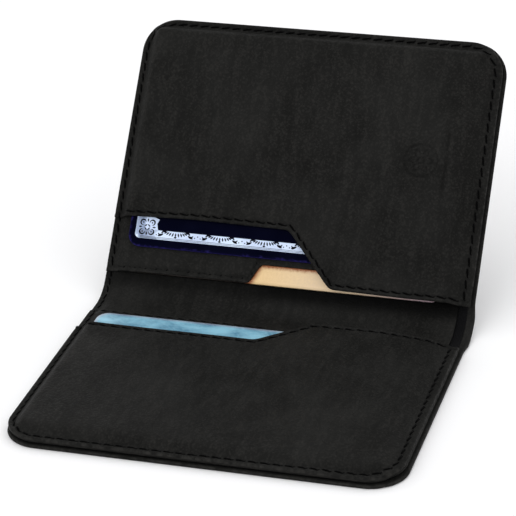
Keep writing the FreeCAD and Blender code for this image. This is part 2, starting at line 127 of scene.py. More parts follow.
@dataclass(frozen=True)
class Section:
    """The holder's section: a flat near panel, a round spine and a far panel that leans back."""

    fold: float
    radius: float
    angle: float
    half_width: float
    near_length: float
    cover: float
    corner: float = 9.5
    far_longer: float = 0.3

    @classmethod
    def from_frame(cls) -> "Section":
        """Read the section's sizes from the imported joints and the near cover's box.

        Returns:
            The section.
        """
        places = {joint["name"]: joint["pos_m"] for joint in frame["joints"] if "pos_m" in joint}
        near, far = places["near_fold"], places["far_fold"]
        run, rise = (far[1] - near[1]) / MM, (far[2] - near[2]) / MM
        angle = 2.0 * math.atan2(rise, run)
        low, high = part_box("near_cover")
        return cls(
            fold=near[1] / MM,
            radius=run / math.sin(angle) + near[2] / MM,
            angle=angle,
            half_width=high.x / MM,
            near_length=near[1] / MM - low.y / MM,
            cover=2.0 * near[2] / MM,
        )

    @property
    def arc(self) -> float:
        """Length of the cover's outer face round the spine."""
        return self.radius * self.angle

    def length(self, side: Side) -> float:
        """A panel's length from its fold line to its outer edge."""
        return self.near_length + (self.far_longer if side is Side.FAR else 0.0)

    def place(self, side: Side, x: Array, s: Array, h: Array) -> Array:
        """Turn panel coordinates into points of the open holder.

        Args:
            side: The panel that s is measured on.
            x: Places along the fold.
            s: Distances from that panel's fold line.
            h: Heights over the cover's outer face.

        Returns:
            Points in metres, with x, y, z on the last axis.
        """
        x, s, h = np.broadcast_arrays(np.asarray(x, float), np.asarray(s, float), h)
        along = -s if side is Side.NEAR else self.arc + s
        turn = np.clip(along / self.radius, 0.0, self.angle)
        beyond = np.where(along < 0.0, along, np.maximum(along - self.arc, 0.0))
        reach = self.radius - h
        y = self.fold + reach * np.sin(turn) + beyond * np.cos(turn)
        z = self.radius - reach * np.cos(turn) + beyond * np.sin(turn)
        return np.stack([x, y, z], axis=-1) * MM

    def blend_ends(self, side: Side) -> tuple[Vector, Vector]:
        """Where a sheet that bends over one fold starts and stops turning.

        Args:
            side: The panel whose fold the sheet crosses.

        Returns:
            The point where it still follows the panel, and the one where it follows the spine.
        """
        on_panel, on_spine = 2.0, 4.2
        if side is Side.NEAR:
            line, way = Vector((0, self.fold, 0)), Vector((0, 1, 0))
        else:
            sine, cosine = math.sin(self.angle), math.cos(self.angle)
            line = Vector((0, self.fold + self.radius * sine, self.radius * (1 - cosine)))
            way = Vector((0, -cosine, -sine))
        return (line - way * on_panel) * MM, (line + way * on_spine) * MM


SECTION = Section.from_frame()


@dataclass(frozen=True)
class Outline:
    """The outline of one layer of a panel."""

    side: Side
    inset: float = 0.0
    right_inset: float = 0.0
    outer_inset: float = 0.0

    @property
    def left(self) -> float:
        """The left edge's x."""
        return -SECTION.half_width + self.inset

    @property
    def right(self) -> float:
        """The right edge's x."""
        return SECTION.half_width - max(self.inset, self.right_inset)

    @property
    def length(self) -> float:
        """The outer edge's distance from the fold."""
        return SECTION.length(self.side) - max(self.inset, self.outer_inset)

    @property
    def corner(self) -> float:
        """The radius of the two outer corners."""
        return SECTION.corner - self.inset

    def margin(self, x: Array, s: Array) -> Array:
        """How far each point lies inside the left, outer and right edges.

        Args:
            x: Places along the fold.
            s: Distances from the fold.

        Returns:
            The distances.
        """
        beyond_x = np.maximum(self.left + self.corner - x, x - self.right + self.corner)
        beyond_s = s - self.length + self.corner
        inside = np.minimum(np.maximum(beyond_x, beyond_s), 0.0)
        outside = np.hypot(np.maximum(beyond_x, 0.0), np.maximum(beyond_s, 0.0))
        return self.corner - outside - inside

    def sewn_margin(self, x: Array, s: Array) -> Array:
        """How far each point lies inside the left and outer edges, the ones sewn to the cover."""
        return np.minimum(self.margin(np.minimum(x, 0.0), s), self.length - s)

    def turn_corners(self, x: Array, s: Array) -> tuple[Array, Array]:
        """Bend a square net of points so that its outer corners are round.

        Args:
            x: Places along the fold.
            s: Distances from the fold.

        Returns:
            The same net, bent.
        """
        radius = self.corner
        up = (s - self.length + radius) / radius
        for centre, way in ((self.left + radius, -1.0), (self.right - radius, 1.0)):
            out = (x - centre) * way / radius
            inside = (out > 1e-9) & (up > 1e-9)
            a, b = np.where(inside, out, 1.0), np.where(inside, up, 1.0)
            ring = np.maximum(a, b)
            low = np.minimum(a, b) / ring * math.pi / 4
            angle = np.where(a >= b, low, math.pi / 2 - low)
            x = np.where(inside, centre + way * radius * ring * np.cos(angle), x)
            s = np.where(inside, self.length - radius + radius * ring * np.sin(angle), s)
        return x, s


@dataclass(frozen=True)
class Mouth:
    """A pocket's mouth: straight runs between points (x, s) with softly rounded knees."""

    points: tuple[tuple[float, float], ...]
    knee: float = 0.45

    def slopes(self) -> list[float]:
        """The slope of each straight run."""
        pairs = zip(self.points, self.points[1:])
        return [(b[1] - a[1]) / (b[0] - a[0]) for a, b in pairs]

    def at(self, x: Array) -> Array:
        """The mouth's distance from the fold.

        Args:
            x: Places along the fold.

        Returns:
            The distance at each place.
        """
        slopes = self.slopes()
        s = self.points[0][1] + slopes[0] * (x - self.points[0][0])
        for (corner, _), before, after in zip(self.points[1:], slopes, slopes[1:]):
            s = s + (after - before) * self.knee * np.logaddexp(0.0, (x - corner) / self.knee)
        return s

    def lean(self, x: Array) -> Array:
        """Cosine of the mouth's slope, which turns a distance along s into one across the mouth.

        Args:
            x: Places along the fold.

        Returns:
            The cosine at each place.
        """
        slopes = self.slopes()
        slope = np.full_like(x, slopes[0])
        for (corner, _), before, after in zip(self.points[1:], slopes, slopes[1:]):
            share = 1.0 / (1.0 + np.exp(-np.clip((x - corner) / self.knee, -40, 40)))
            slope = slope + (after - before) * share
        return 1.0 / np.hypot(1.0, slope)

    def margin(self, x: Array, s: Array) -> Array:
        """How far each point lies inside the pocket's mouth.

        Args:
            x: Places along the fold.
            s: Distances from the fold.

        Returns:
            The distances, negative outside the pocket.
        """
        return (s - self.at(x)) * self.lean(x)


def straight_mouth(s: float) -> Mouth:
    """A mouth that runs straight across at one distance from the fold."""
    return Mouth(((-60.0, s), (60.0, s)))


NEAR_MOUTH = Mouth((
    (-60, 15.1), (-16.5, 15.5), (-1.5, 15.5), (11.0, 3.6), (28.0, 3.5), (39, 4.8), (60, 6.9),
))
MIDDLE_MOUTH = Mouth(((-60, 1.3), (-29.1, 1.8), (-9.7, 1.7), (-7.2, 6.9), (60, 6.9)), knee=0.3)
FRONT_MOUTH = Mouth(((-60, 15.9), (-26, 16.8), (-0.8, 16.5), (12.3, 1.8), (31, 1.5), (60, 1.5)))


# ---- mesh making

EDGE_STEPS = (0.0, 0.05, 0.12, 0.22, 0.36, 0.55, 0.8, 1.05, 1.3, 1.55, 1.8, 2.05, 2.35, 2.7, 3.1,
              3.6, 4.2, 5.0, 6.0, 7.2, 8.6, 11.0)
CLOSEST_LINES = 0.12
SPINE_STEP = 0.45     # the net's spacing round the spine
FLAT_FROM = 3.0       # how far past the fold that spacing goes on
EDGE_FADE = 0.5       # how far in from an edge its rubbing fades
UNDER_SHIFT = 3.0     # sets a sheet's underside apart from its top in the finish
STITCH_PITCH = 3.0


def lines_between(start: float, finish: float, step: float) -> list[float]:
    """Evenly spaced lines inside a span.

    Args:
        start: One end, which gets no line.
        finish: The other end, which gets none either.
        step: The widest spacing.

    Returns:
        The lines.
    """
    count = max(1, math.ceil((finish - start) / step))
    return [start + (finish - start) * number / count for number in range(1, count)]


def thin_out(lines: Sequence[float]) -> list[float]:
    """Sort lines and leave out any that crowd the one before.

    Args:
        lines: The lines, in any order.

    Returns:
        The lines that stay.
    """
    kept: list[float] = []
    for line in sorted(lines):
        if not kept or line - kept[-1] > CLOSEST_LINES:
            kept.append(line)
    return kept


@dataclass
class MeshParts:
    """Vertices, faces and vertex values of a mesh in the making."""

    points: list[Array] = field(default_factory=list)
    faces: list[tuple[int, ...]] = field(default_factory=list)
    values: dict[str, list[Array]] = field(default_factory=dict)

    def add(self, points: Array, faces: Sequence[tuple[int, ...]], **values: Array) -> None:
        """Add one closed form.

        Args:
            points: Its vertices, in metres.
            faces: Its faces, counted from its own first vertex.
            **values: Its vertex values, by name.
        """
        base = sum(len(part) for part in self.points)
        self.points.append(points.reshape(-1, 3))
        self.faces.extend(tuple(base + index for index in face) for face in faces)
        for name, value in values.items():
            self.values.setdefault(name, []).append(value.reshape(len(points.reshape(-1, 3)), -1))

    def build(self, name: str, material: bpy.types.Material,
              sharp: float = 50.0) -> bpy.types.Object:
        """Make the Blender object.

        Args:
            name: Its name.
            material: Its finish.
            sharp: Edges that bend more than this many degrees are drawn sharp.

        Returns:
            The object, linked to the scene.
        """
        mesh = bpy.data.meshes.new(name)
        mesh.from_pydata(np.concatenate(self.points).tolist(), [], self.faces)
        for key, parts in self.values.items():
            table = np.concatenate(parts).astype(np.float32)
            kind = "FLOAT_VECTOR" if table.shape[1] == 3 else "FLOAT"
            made = mesh.attributes.new(key, kind, "POINT")
            made.data.foreach_set("vector" if kind == "FLOAT_VECTOR" else "value", table.ravel())
        mesh.validate()
        mesh.shade_smooth()
        mesh.set_sharp_from_angle(angle=math.radians(sharp))
        mesh.materials.append(material)
        piece = bpy.data.objects.new(name, mesh)
        bpy.context.scene.collection.objects.link(piece)
        return piece


@dataclass
class Sheet:
    """One layer of leather, fabric or film, cut to an outline and laid over the layers below it.

    Where it has a mouth it starts at the mouth; otherwise it starts at the middle of the spine,
    where the other panel's half of the same piece carries on.
    """

    outline: Outline
    low: Surface
    high: Surface
    mouth: Optional[Mouth] = None
    step: float = 1.0
    fine_x: tuple[tuple[float, float, float], ...] = ()
    fine_s: tuple[tuple[float, float, float], ...] = ()
    fine_at: float = 0.0
    rounding: float = 0.3
    pull: Optional[Surface] = None
    # painted shade: darkening where shade falls, in folds, seam grooves and pressed lines
    shade: Optional[Surface] = None

    def columns(self) -> Array:
        """Where the net's lines lie along x, close together at the edges and where asked.

        Returns:
            The lines, in order.
        """
        left, right = self.outline.left, self.outline.right
        lines = [left + step for step in EDGE_STEPS] + [right - step for step in EDGE_STEPS]
        middle = lines_between(left + EDGE_STEPS[-1], right - EDGE_STEPS[-1], self.step)
        fine = [line for start, finish, step in self.fine_x
                for line in lines_between(start, finish, step)]
        clear = [line for line in middle
                 if not any(start < line < finish for start, finish, _ in self.fine_x)]
        return np.array(sorted(set(lines) | set(thin_out(clear + fine))))

    def rows(self, x: Array) -> Array:
        """Where the net's lines lie along s.

        Args:
            x: The columns.

        Returns:
            One row of distances for each line, with a value at each column.
        """
        outer = [self.outline.length - step for step in reversed(EDGE_STEPS)]
        if self.mouth is None:
            half_spine = -SECTION.arc / 2
            spine = [half_spine + step for step in (0.0, 0.08, 0.2)]
            spine += lines_between(half_spine + 0.2, FLAT_FROM, SPINE_STEP)
            lines = thin_out(spine + lines_between(FLAT_FROM, outer[0], self.step)) + outer
            return np.repeat(np.array(lines)[:, None], len(x), axis=1)
        edge, lean = self.mouth.at(x), self.mouth.lean(x)
        first = [edge + step / lean for step in EDGE_STEPS]
        here = np.array([self.fine_at])
        base = float(self.mouth.at(here)[0] + EDGE_STEPS[-1] / self.mouth.lean(here)[0])
        middle = lines_between(base, outer[0], self.step)
        fine = [line for start, finish, step in self.fine_s
                for line in lines_between(start, finish, step)]
        clear = [line for line in middle
                 if not any(start < line < finish for start, finish, _ in self.fine_s)]
        shares = [(line - base) / (outer[0] - base) for line in thin_out(clear + fine)]
        inner = [first[-1] * (1 - share) + outer[0] * share for share in shares]
        return np.array(first + inner + [np.full_like(x, line) for line in outer])

    def build(self, name: str, material: bpy.types.Material) -> bpy.types.Object:
        """Make the sheet's closed mesh.

        Args:
            name: The piece's name.
            material: Its finish.

        Returns:
            The object.
        """
        columns = self.columns()
        s = self.rows(columns)
        x = np.repeat(columns[None, :], len(s), axis=0)
        x, s = self.outline.turn_corners(x, s)
        edge = self.outline.margin(x, s)
        if self.mouth is not None:
            edge = np.minimum(edge, self.mouth.margin(x, s))
        edge = np.maximum(edge, 0.0)
        edge[edge < 1e-6] = 0.0
        low, high = self.low(x, s), self.high(x, s)
        share = np.sqrt(1.0 - (1.0 - np.clip(edge / self.rounding, 0.0, 1.0)) ** 2)
        middle, half = (low + high) / 2, (high - low) / 2 * share
        shown = x if self.pull is None else x + self.pull(x, s)
        top = SECTION.place(self.outline.side, shown, s, middle + half)
        under = SECTION.place(self.outline.side, shown, s, middle - half)
        # painted shade for each point
        dark = np.zeros_like(x) if self.shade is None else self.shade(x, s)
        parts = MeshParts()
        self._close(parts, top, under, np.stack([x, s, middle], axis=-1), edge, dark)
        return parts.build(name, material)

    def _close(self, parts: MeshParts, top: Array, under: Array, hide: Array, edge: Array,
               dark: Array) -> None:
        """Join the two faces of the sheet round its edges.

        Args:
            parts: Where the closed form goes.
            top: The upper face's net.
            under: The lower face's net.
            hide: Each point's place on the leather.
            edge: Each point's distance from the nearest edge.
            dark: The painted shade at each point, in a fold, a seam groove or a pressed line.
        """
        rows, columns = edge.shape
        upper = np.arange(rows * columns).reshape(rows, columns)
        joined = np.zeros((rows, columns), bool)
        joined[:, 0] = joined[:, -1] = joined[-1, :] = True
        joined[0, :] |= self.mouth is not None
        lower = np.where(joined, upper, 0)
        lower[~joined] = rows * columns + np.arange((~joined).sum())
        faces = [*_quads(upper, False), *_quads(lower, True)]
        if self.mouth is None:
            for a, b in zip(range(columns - 1), range(1, columns)):
                wall = (upper[0, a], lower[0, a], lower[0, b], upper[0, b])
                faces.append(tuple(dict.fromkeys(int(index) for index in wall)))
        if self.outline.side is Side.NEAR:
            faces = [tuple(reversed(face)) for face in faces]
        loose = ~joined
        parts.add(
            np.concatenate([top.reshape(-1, 3), under[loose]]),
            faces,
            hide=np.concatenate([hide.reshape(-1, 3), hide[loose] - (0.0, 0.0, UNDER_SHIFT)]),
            edge=np.exp(-np.concatenate([edge.ravel(), edge[loose]]) / EDGE_FADE),
            shade=np.concatenate([dark.ravel(), dark[loose]]),
        )


def _quads(net: Array, flip: bool) -> list[tuple[int, ...]]:
    """The faces of a net of vertex numbers.

    Args:
        net: The vertex numbers, by row and column.
        flip: Whether the faces look the other way.

    Returns:
        The faces.
    """
    corners = [net[:-1, :-1], net[:-1, 1:], net[1:, 1:], net[1:, :-1]]
    table = np.stack([corner.ravel() for corner in (corners[::-1] if flip else corners)], axis=1)
    return [tuple(row) for row in table.tolist()]


# ---- shader helpers

class Wiring:
    """Adds and wires shader nodes in one tree."""

    def __init__(self, tree: bpy.types.NodeTree) -> None:
        """Start from a tree, whose nodes are cleared."""
        self.tree = tree
        tree.nodes.clear()

    def node(self, kind: str, inputs: Optional[dict] = None, **settings: object) -> bpy.types.Node:
        """Add a node.

        Args:
            kind: The node's type name.
            inputs: Values or sockets for its inputs, by name or number.
            **settings: The node's own settings.

        Returns:
            The node.
        """
        made = self.tree.nodes.new(kind)
        for name, setting in settings.items():
            setattr(made, name, setting)
        for key, given in (inputs or {}).items():
            if isinstance(given, bpy.types.NodeSocket):
                self.tree.links.new(given, made.inputs[key])
            else:
                made.inputs[key].default_value = given
        return made

    def math(self, operation: str, first: object, second: object = 0.0) -> bpy.types.NodeSocket:
        """A Math node's result."""
        return self.node("ShaderNodeMath", {0: first, 1: second}, operation=operation).outputs[0]

    def span(self, value: object, low: float, high: float, to_low: float = 0.0,
             to_high: float = 1.0) -> bpy.types.NodeSocket:
        """Stretch a value from one span to another.

        Args:
            value: The value.
            low: The span's start.
            high: The span's end.
            to_low: What the start becomes.
            to_high: What the end becomes.

        Returns:
            The stretched value.
        """
        inputs = {0: value, 1: low, 2: high, 3: to_low, 4: to_high}
        return self.node("ShaderNodeMapRange", inputs, interpolation_type="SMOOTHSTEP").outputs[0]

    def mix(self, share: object, first: object, second: object) -> bpy.types.NodeSocket:
        """Mix two colours.

        Args:
            share: How much of the second.
            first: The first colour.
            second: The second colour.

        Returns:
            The mixed colour.
        """
        made = self.node("ShaderNodeMix", {0: share}, data_type="RGBA")
        for socket, given in ((made.inputs[6], first), (made.inputs[7], second)):
            if isinstance(given, bpy.types.NodeSocket):
                self.tree.links.new(given, socket)
            else:
                socket.default_value = given
        return made.outputs[2]

    def place(self) -> bpy.types.NodeSocket:
        """Where a point lies on its sheet, in millimetres."""
        return self.node("ShaderNodeAttribute", attribute_name="hide").outputs["Vector"]

    def mask(self, name: str) -> bpy.types.NodeSocket:
        """A vertex value by name."""
        return self.node("ShaderNodeAttribute", attribute_name=name).outputs["Fac"]

    def stretched(self, vector: object, scale: Sequence[float],
                  turn: float = 0.0) -> bpy.types.NodeSocket:
        """Scale a vector after turning it about the sheet's normal by some degrees."""
        inputs = {"Vector": vector, "Scale": scale, "Rotation": (0.0, 0.0, math.radians(turn))}
        return self.node("ShaderNodeMapping", inputs).outputs[0]

    def noise(self, vector: object, scale: object, detail: float = 3.0,
              rough: float = 0.55) -> bpy.types.NodeSocket:
        """A noise value.

        Args:
            vector: Where to read it.
            scale: How many lumps to the millimetre.
            detail: How many finer layers it has.
            rough: How strong they are.

        Returns:
            The value, about 0.5.
        """
        inputs = {"Vector": vector, "Scale": scale, "Detail": detail, "Roughness": rough}
        return self.node("ShaderNodeTexNoise", inputs).outputs["Fac"]


def colour(red: float, green: float, blue: float) -> tuple[float, float, float, float]:
    """A display colour from 0 to 255 as the linear colour that a shader takes.

    Args:
        red: Red.
        green: Green.
        blue: Blue.

    Returns:
        The linear colour, with its alpha.
    """
    parts = [value / 255.0 for value in (red, green, blue)]
    line = [v / 12.92 if v <= 0.04045 else ((v + 0.055) / 1.055) ** 2.4 for v in parts]
    return (line[0], line[1], line[2], 1.0)


def group_tree(name: str, inputs: dict[str, object], outputs: dict[str, str]) -> bpy.types.NodeTree:
    """Start a node group with named sockets.

    Args:
        name: The group's name.
        inputs: Each input's default value; a tuple of three makes a vector, of four a colour.
        outputs: Each output's socket type.

    Returns:
        The group, with its input and output nodes still to be added.
    """
    kinds = {3: "NodeSocketVector", 4: "NodeSocketColor"}
    tree = bpy.data.node_groups.new(name, "ShaderNodeTree")
    for key, given in inputs.items():
        kind = kinds[len(given)] if isinstance(given, tuple) else "NodeSocketFloat"
        tree.interface.new_socket(key, in_out="INPUT", socket_type=kind).default_value = given
    for key, kind in outputs.items():
        tree.interface.new_socket(key, in_out="OUTPUT", socket_type=kind)
    return tree


class Effects:
    """The shader groups that several finishes share."""

    def __init__(self) -> None:
        """Build each group once."""
        self.grain = self._grain()
        self.wear = self._wear()
        self.clouds = self._clouds()
        self.weave = self._weave()

    @staticmethod
    def _grain() -> bpy.types.NodeTree:
        """Fine pebbled grain with long soft streaks.

        Returns:
            The group.
        """
        tree = group_tree(
            "Fine grain",
            {"Place": (0.0, 0.0, 0.0), "Pebbles": 1.7, "Streaks": 0.5},
            {"Height": "NodeSocketFloat", "Streak": "NodeSocketFloat"},
        )
        wire = Wiring(tree)
        given = wire.node("NodeGroupInput").outputs
        warp = wire.node(
            "ShaderNodeTexNoise", {"Vector": given["Place"], "Scale": 0.9, "Detail": 2.0}
        )
        moved = wire.node("ShaderNodeVectorMath", {0: given["Place"], 1: warp.outputs["Color"]})
        cells = wire.node(
            "ShaderNodeTexVoronoi",
            {"Vector": moved.outputs[0], "Scale": given["Pebbles"], "Randomness": 1.0},
            feature="SMOOTH_F1",
        )
        pores = wire.noise(given["Place"], 3.2, 2.0)
        long = wire.stretched(given["Place"], (1.0, 0.22, 1.0), 32.0)
        streak = wire.noise(long, given["Streaks"], 4.0, 0.6)
        rise = wire.math("MULTIPLY", cells.outputs["Distance"], -0.8)
        rise = wire.math("ADD", rise, wire.math("MULTIPLY", pores, 0.5))
        rise = wire.math("ADD", rise, wire.math("MULTIPLY", streak, 0.6))
        wire.node("NodeGroupOutput", {"Height": rise, "Streak": streak})
        return tree

    @staticmethod
    def _wear() -> bpy.types.NodeTree:
        """Rubbing along edges, broken up so that it isn't even.

        Returns:
            The group.
        """
        tree = group_tree(
            "Edge wear",
            {"Place": (0.0, 0.0, 0.0), "Edge": 0.0, "Break up": 0.8, "Reach": 0.5},
            {"Mask": "NodeSocketFloat"},
        )
        wire = Wiring(tree)
        given = wire.node("NodeGroupInput").outputs
        patches = wire.noise(given["Place"], given["Break up"], 3.0)
        shown = wire.math("MULTIPLY", given["Edge"], wire.span(patches, 0.3, 0.7))
        inputs = {0: shown, 1: given["Reach"], 2: 1.0, 3: 0.0, 4: 1.0}
        mask = wire.node("ShaderNodeMapRange", inputs).outputs[0]
        wire.node("NodeGroupOutput", {"Mask": mask})
        return tree

    @staticmethod
    def _clouds() -> bpy.types.NodeTree:
        """Soft patches at two sizes.

        Returns:
            The group.
        """
        tree = group_tree(
            "Clouds",
            {"Place": (0.0, 0.0, 0.0), "Large": 0.08, "Small": 0.6},
            {"Broad": "NodeSocketFloat", "Fine": "NodeSocketFloat"},
        )
        wire = Wiring(tree)
        given = wire.node("NodeGroupInput").outputs
        broad = wire.span(wire.noise(given["Place"], given["Large"], 3.0), 0.3, 0.7)
        fine = wire.span(wire.noise(given["Place"], given["Small"], 5.0, 0.7), 0.3, 0.7)
        wire.node("NodeGroupOutput", {"Broad": broad, "Fine": fine})
        return tree

    @staticmethod
    def _weave() -> bpy.types.NodeTree:
        """Threads crossing over and under.

        Returns:
            The group.
        """
        tree = group_tree(
            "Weave",
            {"Place": (0.0, 0.0, 0.0), "Threads": 2.6},
            {"Height": "NodeSocketFloat"},
        )
        wire = Wiring(tree)
        given = wire.node("NodeGroupInput").outputs
        apart = wire.node("ShaderNodeSeparateXYZ", {0: given["Place"]}).outputs
        turn = wire.math("MULTIPLY", given["Threads"], math.pi)
        across = wire.math("SINE", wire.math("MULTIPLY", apart[0], turn))
        along = wire.math("SINE", wire.math("MULTIPLY", apart[1], turn))
        cross = wire.math("MULTIPLY", across, along)
        wire.node("NodeGroupOutput", {"Height": wire.math("ABSOLUTE", cross)})
        return tree


@dataclass(frozen=True)
class Finish:
    """What every finish has: a name and the shared effects."""

    effects: Effects

    def start(self, name: str) -> tuple[bpy.types.Material, Wiring]:
        """Begin a material.

        Args:
            name: Its name.

        Returns:
            The material, and the wiring of its node tree.
        """
        material = bpy.data.materials.new(name)
        material.use_nodes = True
        return material, Wiring(material.node_tree)

    def surface(self, wire: Wiring, base: object, rough: object, normal: object = None,
                **constants: float) -> None:
        """Add the shader and the output.

        Args:
            wire: The material's wiring.
            base: The base colour.
            rough: The roughness.
            normal: The normal, if it has bumps.
            **constants: Other settings of the shader, by socket name with _ for each space.
        """
        inputs = {"Base Color": base, "Roughness": rough}
        if normal is not None:
            inputs["Normal"] = normal
        inputs.update({key.replace("_", " "): value for key, value in constants.items()})
        shader = wire.node("ShaderNodeBsdfPrincipled", inputs)
        wire.node("ShaderNodeOutputMaterial", {"Surface": shader.outputs[0]})

    def bump(self, wire: Wiring, height: object, strength: float,
             depth: float) -> bpy.types.NodeSocket:
        """A bumped normal.

        Args:
            wire: The material's wiring.
            height: The bumps' height from 0 to 1.
            strength: How strongly they show.
            depth: The height of 1, in millimetres.

        Returns:
            The normal.
        """
        inputs = {"Height": height, "Strength": strength, "Distance": depth * MM}
        return wire.node("ShaderNodeBump", inputs).outputs[0]

    def group(self, wire: Wiring, tree: bpy.types.NodeTree, **inputs: object) -> dict:
        """Place a shared effect.

        Args:
            wire: The material's wiring.
            tree: The effect.
            **inputs: Its inputs, by name with _ for each space.

        Returns:
            Its outputs by name.
        """
        named = {key.replace("_", " "): value for key, value in inputs.items()}
        made = wire.tree.nodes.new("ShaderNodeGroup")
        made.node_tree = tree
        for key, given in named.items():
            if isinstance(given, bpy.types.NodeSocket):
                wire.tree.links.new(given, made.inputs[key])
            else:
                made.inputs[key].default_value = given
        return {socket.name: socket for socket in made.outputs}


@dataclass(frozen=True)
class Leather(Finish):
    """Smooth black cowhide with a fine grain, soft mottling, burnished edges and painted shade in
    folds, seam grooves and the pressed mark.
    """

    name: str = "black_hide"
    dark: tuple = colour(15, 15, 14)
    light: tuple = colour(32, 32, 31)
    worn: tuple = colour(49, 48, 46)
    # colour of the painted shade in folds, seam grooves and the pressed mark
    painted_shade_colour: tuple = colour(4, 4, 4)
    roughness: float = 0.56
    shine: float = 0.035

    def build(self) -> bpy.types.Material:
        """Make the material.

        Returns:
            The material.
        """
        material, wire = self.start(self.name)
        place = wire.place()
        grain = self.group(wire, self.effects.grain, Place=place)
        clouds = self.group(wire, self.effects.clouds, Place=place, Large=0.06, Small=0.5)
        wear = self.group(wire, self.effects.wear, Place=place, Edge=wire.mask("edge"), Reach=0.25)
        patches = wire.math("MULTIPLY", clouds["Broad"], 0.5)
        patches = wire.math("ADD", patches, wire.math("MULTIPLY", grain["Streak"], 0.5))
        base = wire.mix(patches, self.dark, self.light)
        flecks = wire.math("MULTIPLY", wire.span(grain["Height"], 0.08, 0.62), 0.42)
        base = wire.mix(flecks, base, self.worn)
        base = wire.mix(wire.math("MULTIPLY", wear["Mask"], 0.7), base, self.worn)
        # painted shade: darkens towards the painted shade colour where the shade value marks folds,
        # seam grooves and the pressed mark
        base = wire.mix(wire.mask("shade"), base, self.painted_shade_colour)
        rough = wire.span(clouds["Fine"], 0.0, 1.0, self.roughness + 0.05, self.roughness - 0.05)
        rough = wire.math("SUBTRACT", rough, wire.math("MULTIPLY", wear["Mask"], 0.1))
        normal = self.bump(wire, grain["Height"], 0.8, 0.16)
        self.surface(wire, base, rough, normal, Specular_IOR_Level=self.shine)
        return material


@dataclass(frozen=True)
class Lining(Finish):
    """Thin woven pocket lining."""

    def build(self) -> bpy.types.Material:
        """Make the material.

        Returns:
            The material.
        """
        material, wire = self.start("pocket_lining")
        place = wire.place()
        weave = self.group(wire, self.effects.weave, Place=place)
        clouds = self.group(wire, self.effects.clouds, Place=place)
        base = wire.mix(weave["Height"], colour(4, 4, 5), colour(16, 16, 18))
        base = wire.mix(wire.math("MULTIPLY", clouds["Broad"], 0.3), base, colour(10, 10, 11))
        rough = wire.span(weave["Height"], 0.0, 1.0, 0.95, 0.75)
        normal = self.bump(wire, weave["Height"], 0.8, 0.15)
        self.surface(wire, base, rough, normal, Specular_IOR_Level=0.1)
        return material


@dataclass(frozen=True)
class Film(Finish):
    """Metallised shielding film, slightly crinkled."""

    def build(self) -> bpy.types.Material:
        """Make the material.

        Returns:
            The material.
        """
        material, wire = self.start("metallised_film")
        clouds = self.group(wire, self.effects.clouds, Place=wire.place(), Large=0.25, Small=0.9)
        base = wire.mix(clouds["Broad"], colour(150, 152, 156), colour(190, 191, 194))
        rough = wire.span(clouds["Fine"], 0.0, 1.0, 0.25, 0.42)
        normal = self.bump(wire, clouds["Fine"], 0.5, 0.12)
        self.surface(wire, base, rough, normal, Metallic=1.0)
        return material


@dataclass(frozen=True)
class Thread(Finish):
    """Waxed black sewing thread."""

    def build(self) -> bpy.types.Material:
        """Make the material.

        Returns:
            The material.
        """
        material, wire = self.start("waxed_thread")
        place = wire.place()
        strands = wire.noise(wire.stretched(place, (6.0, 1.0, 6.0)), 1.4, 2.0)
        clouds = self.group(wire, self.effects.clouds, Place=place, Large=0.2, Small=1.5)
        shade = wire.math("MULTIPLY", clouds["Fine"], strands)
        base = wire.mix(shade, colour(1, 1, 1), colour(8, 8, 9))
        rough = wire.span(strands, 0.3, 0.7, 0.75, 0.55)
        normal = self.bump(wire, strands, 0.5, 0.08)
        self.surface(wire, base, rough, normal, Specular_IOR_Level=0.03)
        return material


@dataclass(frozen=True)
class BluePrint(Finish):
    """Glossy card face printed with soft blue clouds."""

    def build(self) -> bpy.types.Material:
        """Make the material.

        Returns:
            The material.
        """
        material, wire = self.start("blue_cloud_print")
        place = wire.place()
        clouds = self.group(
            wire, self.effects.clouds, Place=wire.stretched(place, (1.0, 1.7, 1.0), 20.0),
            Large=0.13, Small=1.3,
        )
        base = wire.mix(clouds["Broad"], colour(58, 118, 148), colour(132, 190, 212))
        speck = wire.math("MULTIPLY", wire.span(clouds["Fine"], 0.15, 0.95), 0.4)
        base = wire.mix(speck, base, colour(150, 190, 206))
        base = wire.mix(wire.math("MULTIPLY", wire.mask("edge"), 0.6), base, colour(206, 178, 190))
        rough = wire.span(clouds["Fine"], 0.0, 1.0, 0.3, 0.42)
        normal = self.bump(wire, clouds["Fine"], 0.1, 0.02)
        self.surface(wire, base, rough, normal, Coat_Weight=0.2, Coat_Roughness=0.15)
        return material


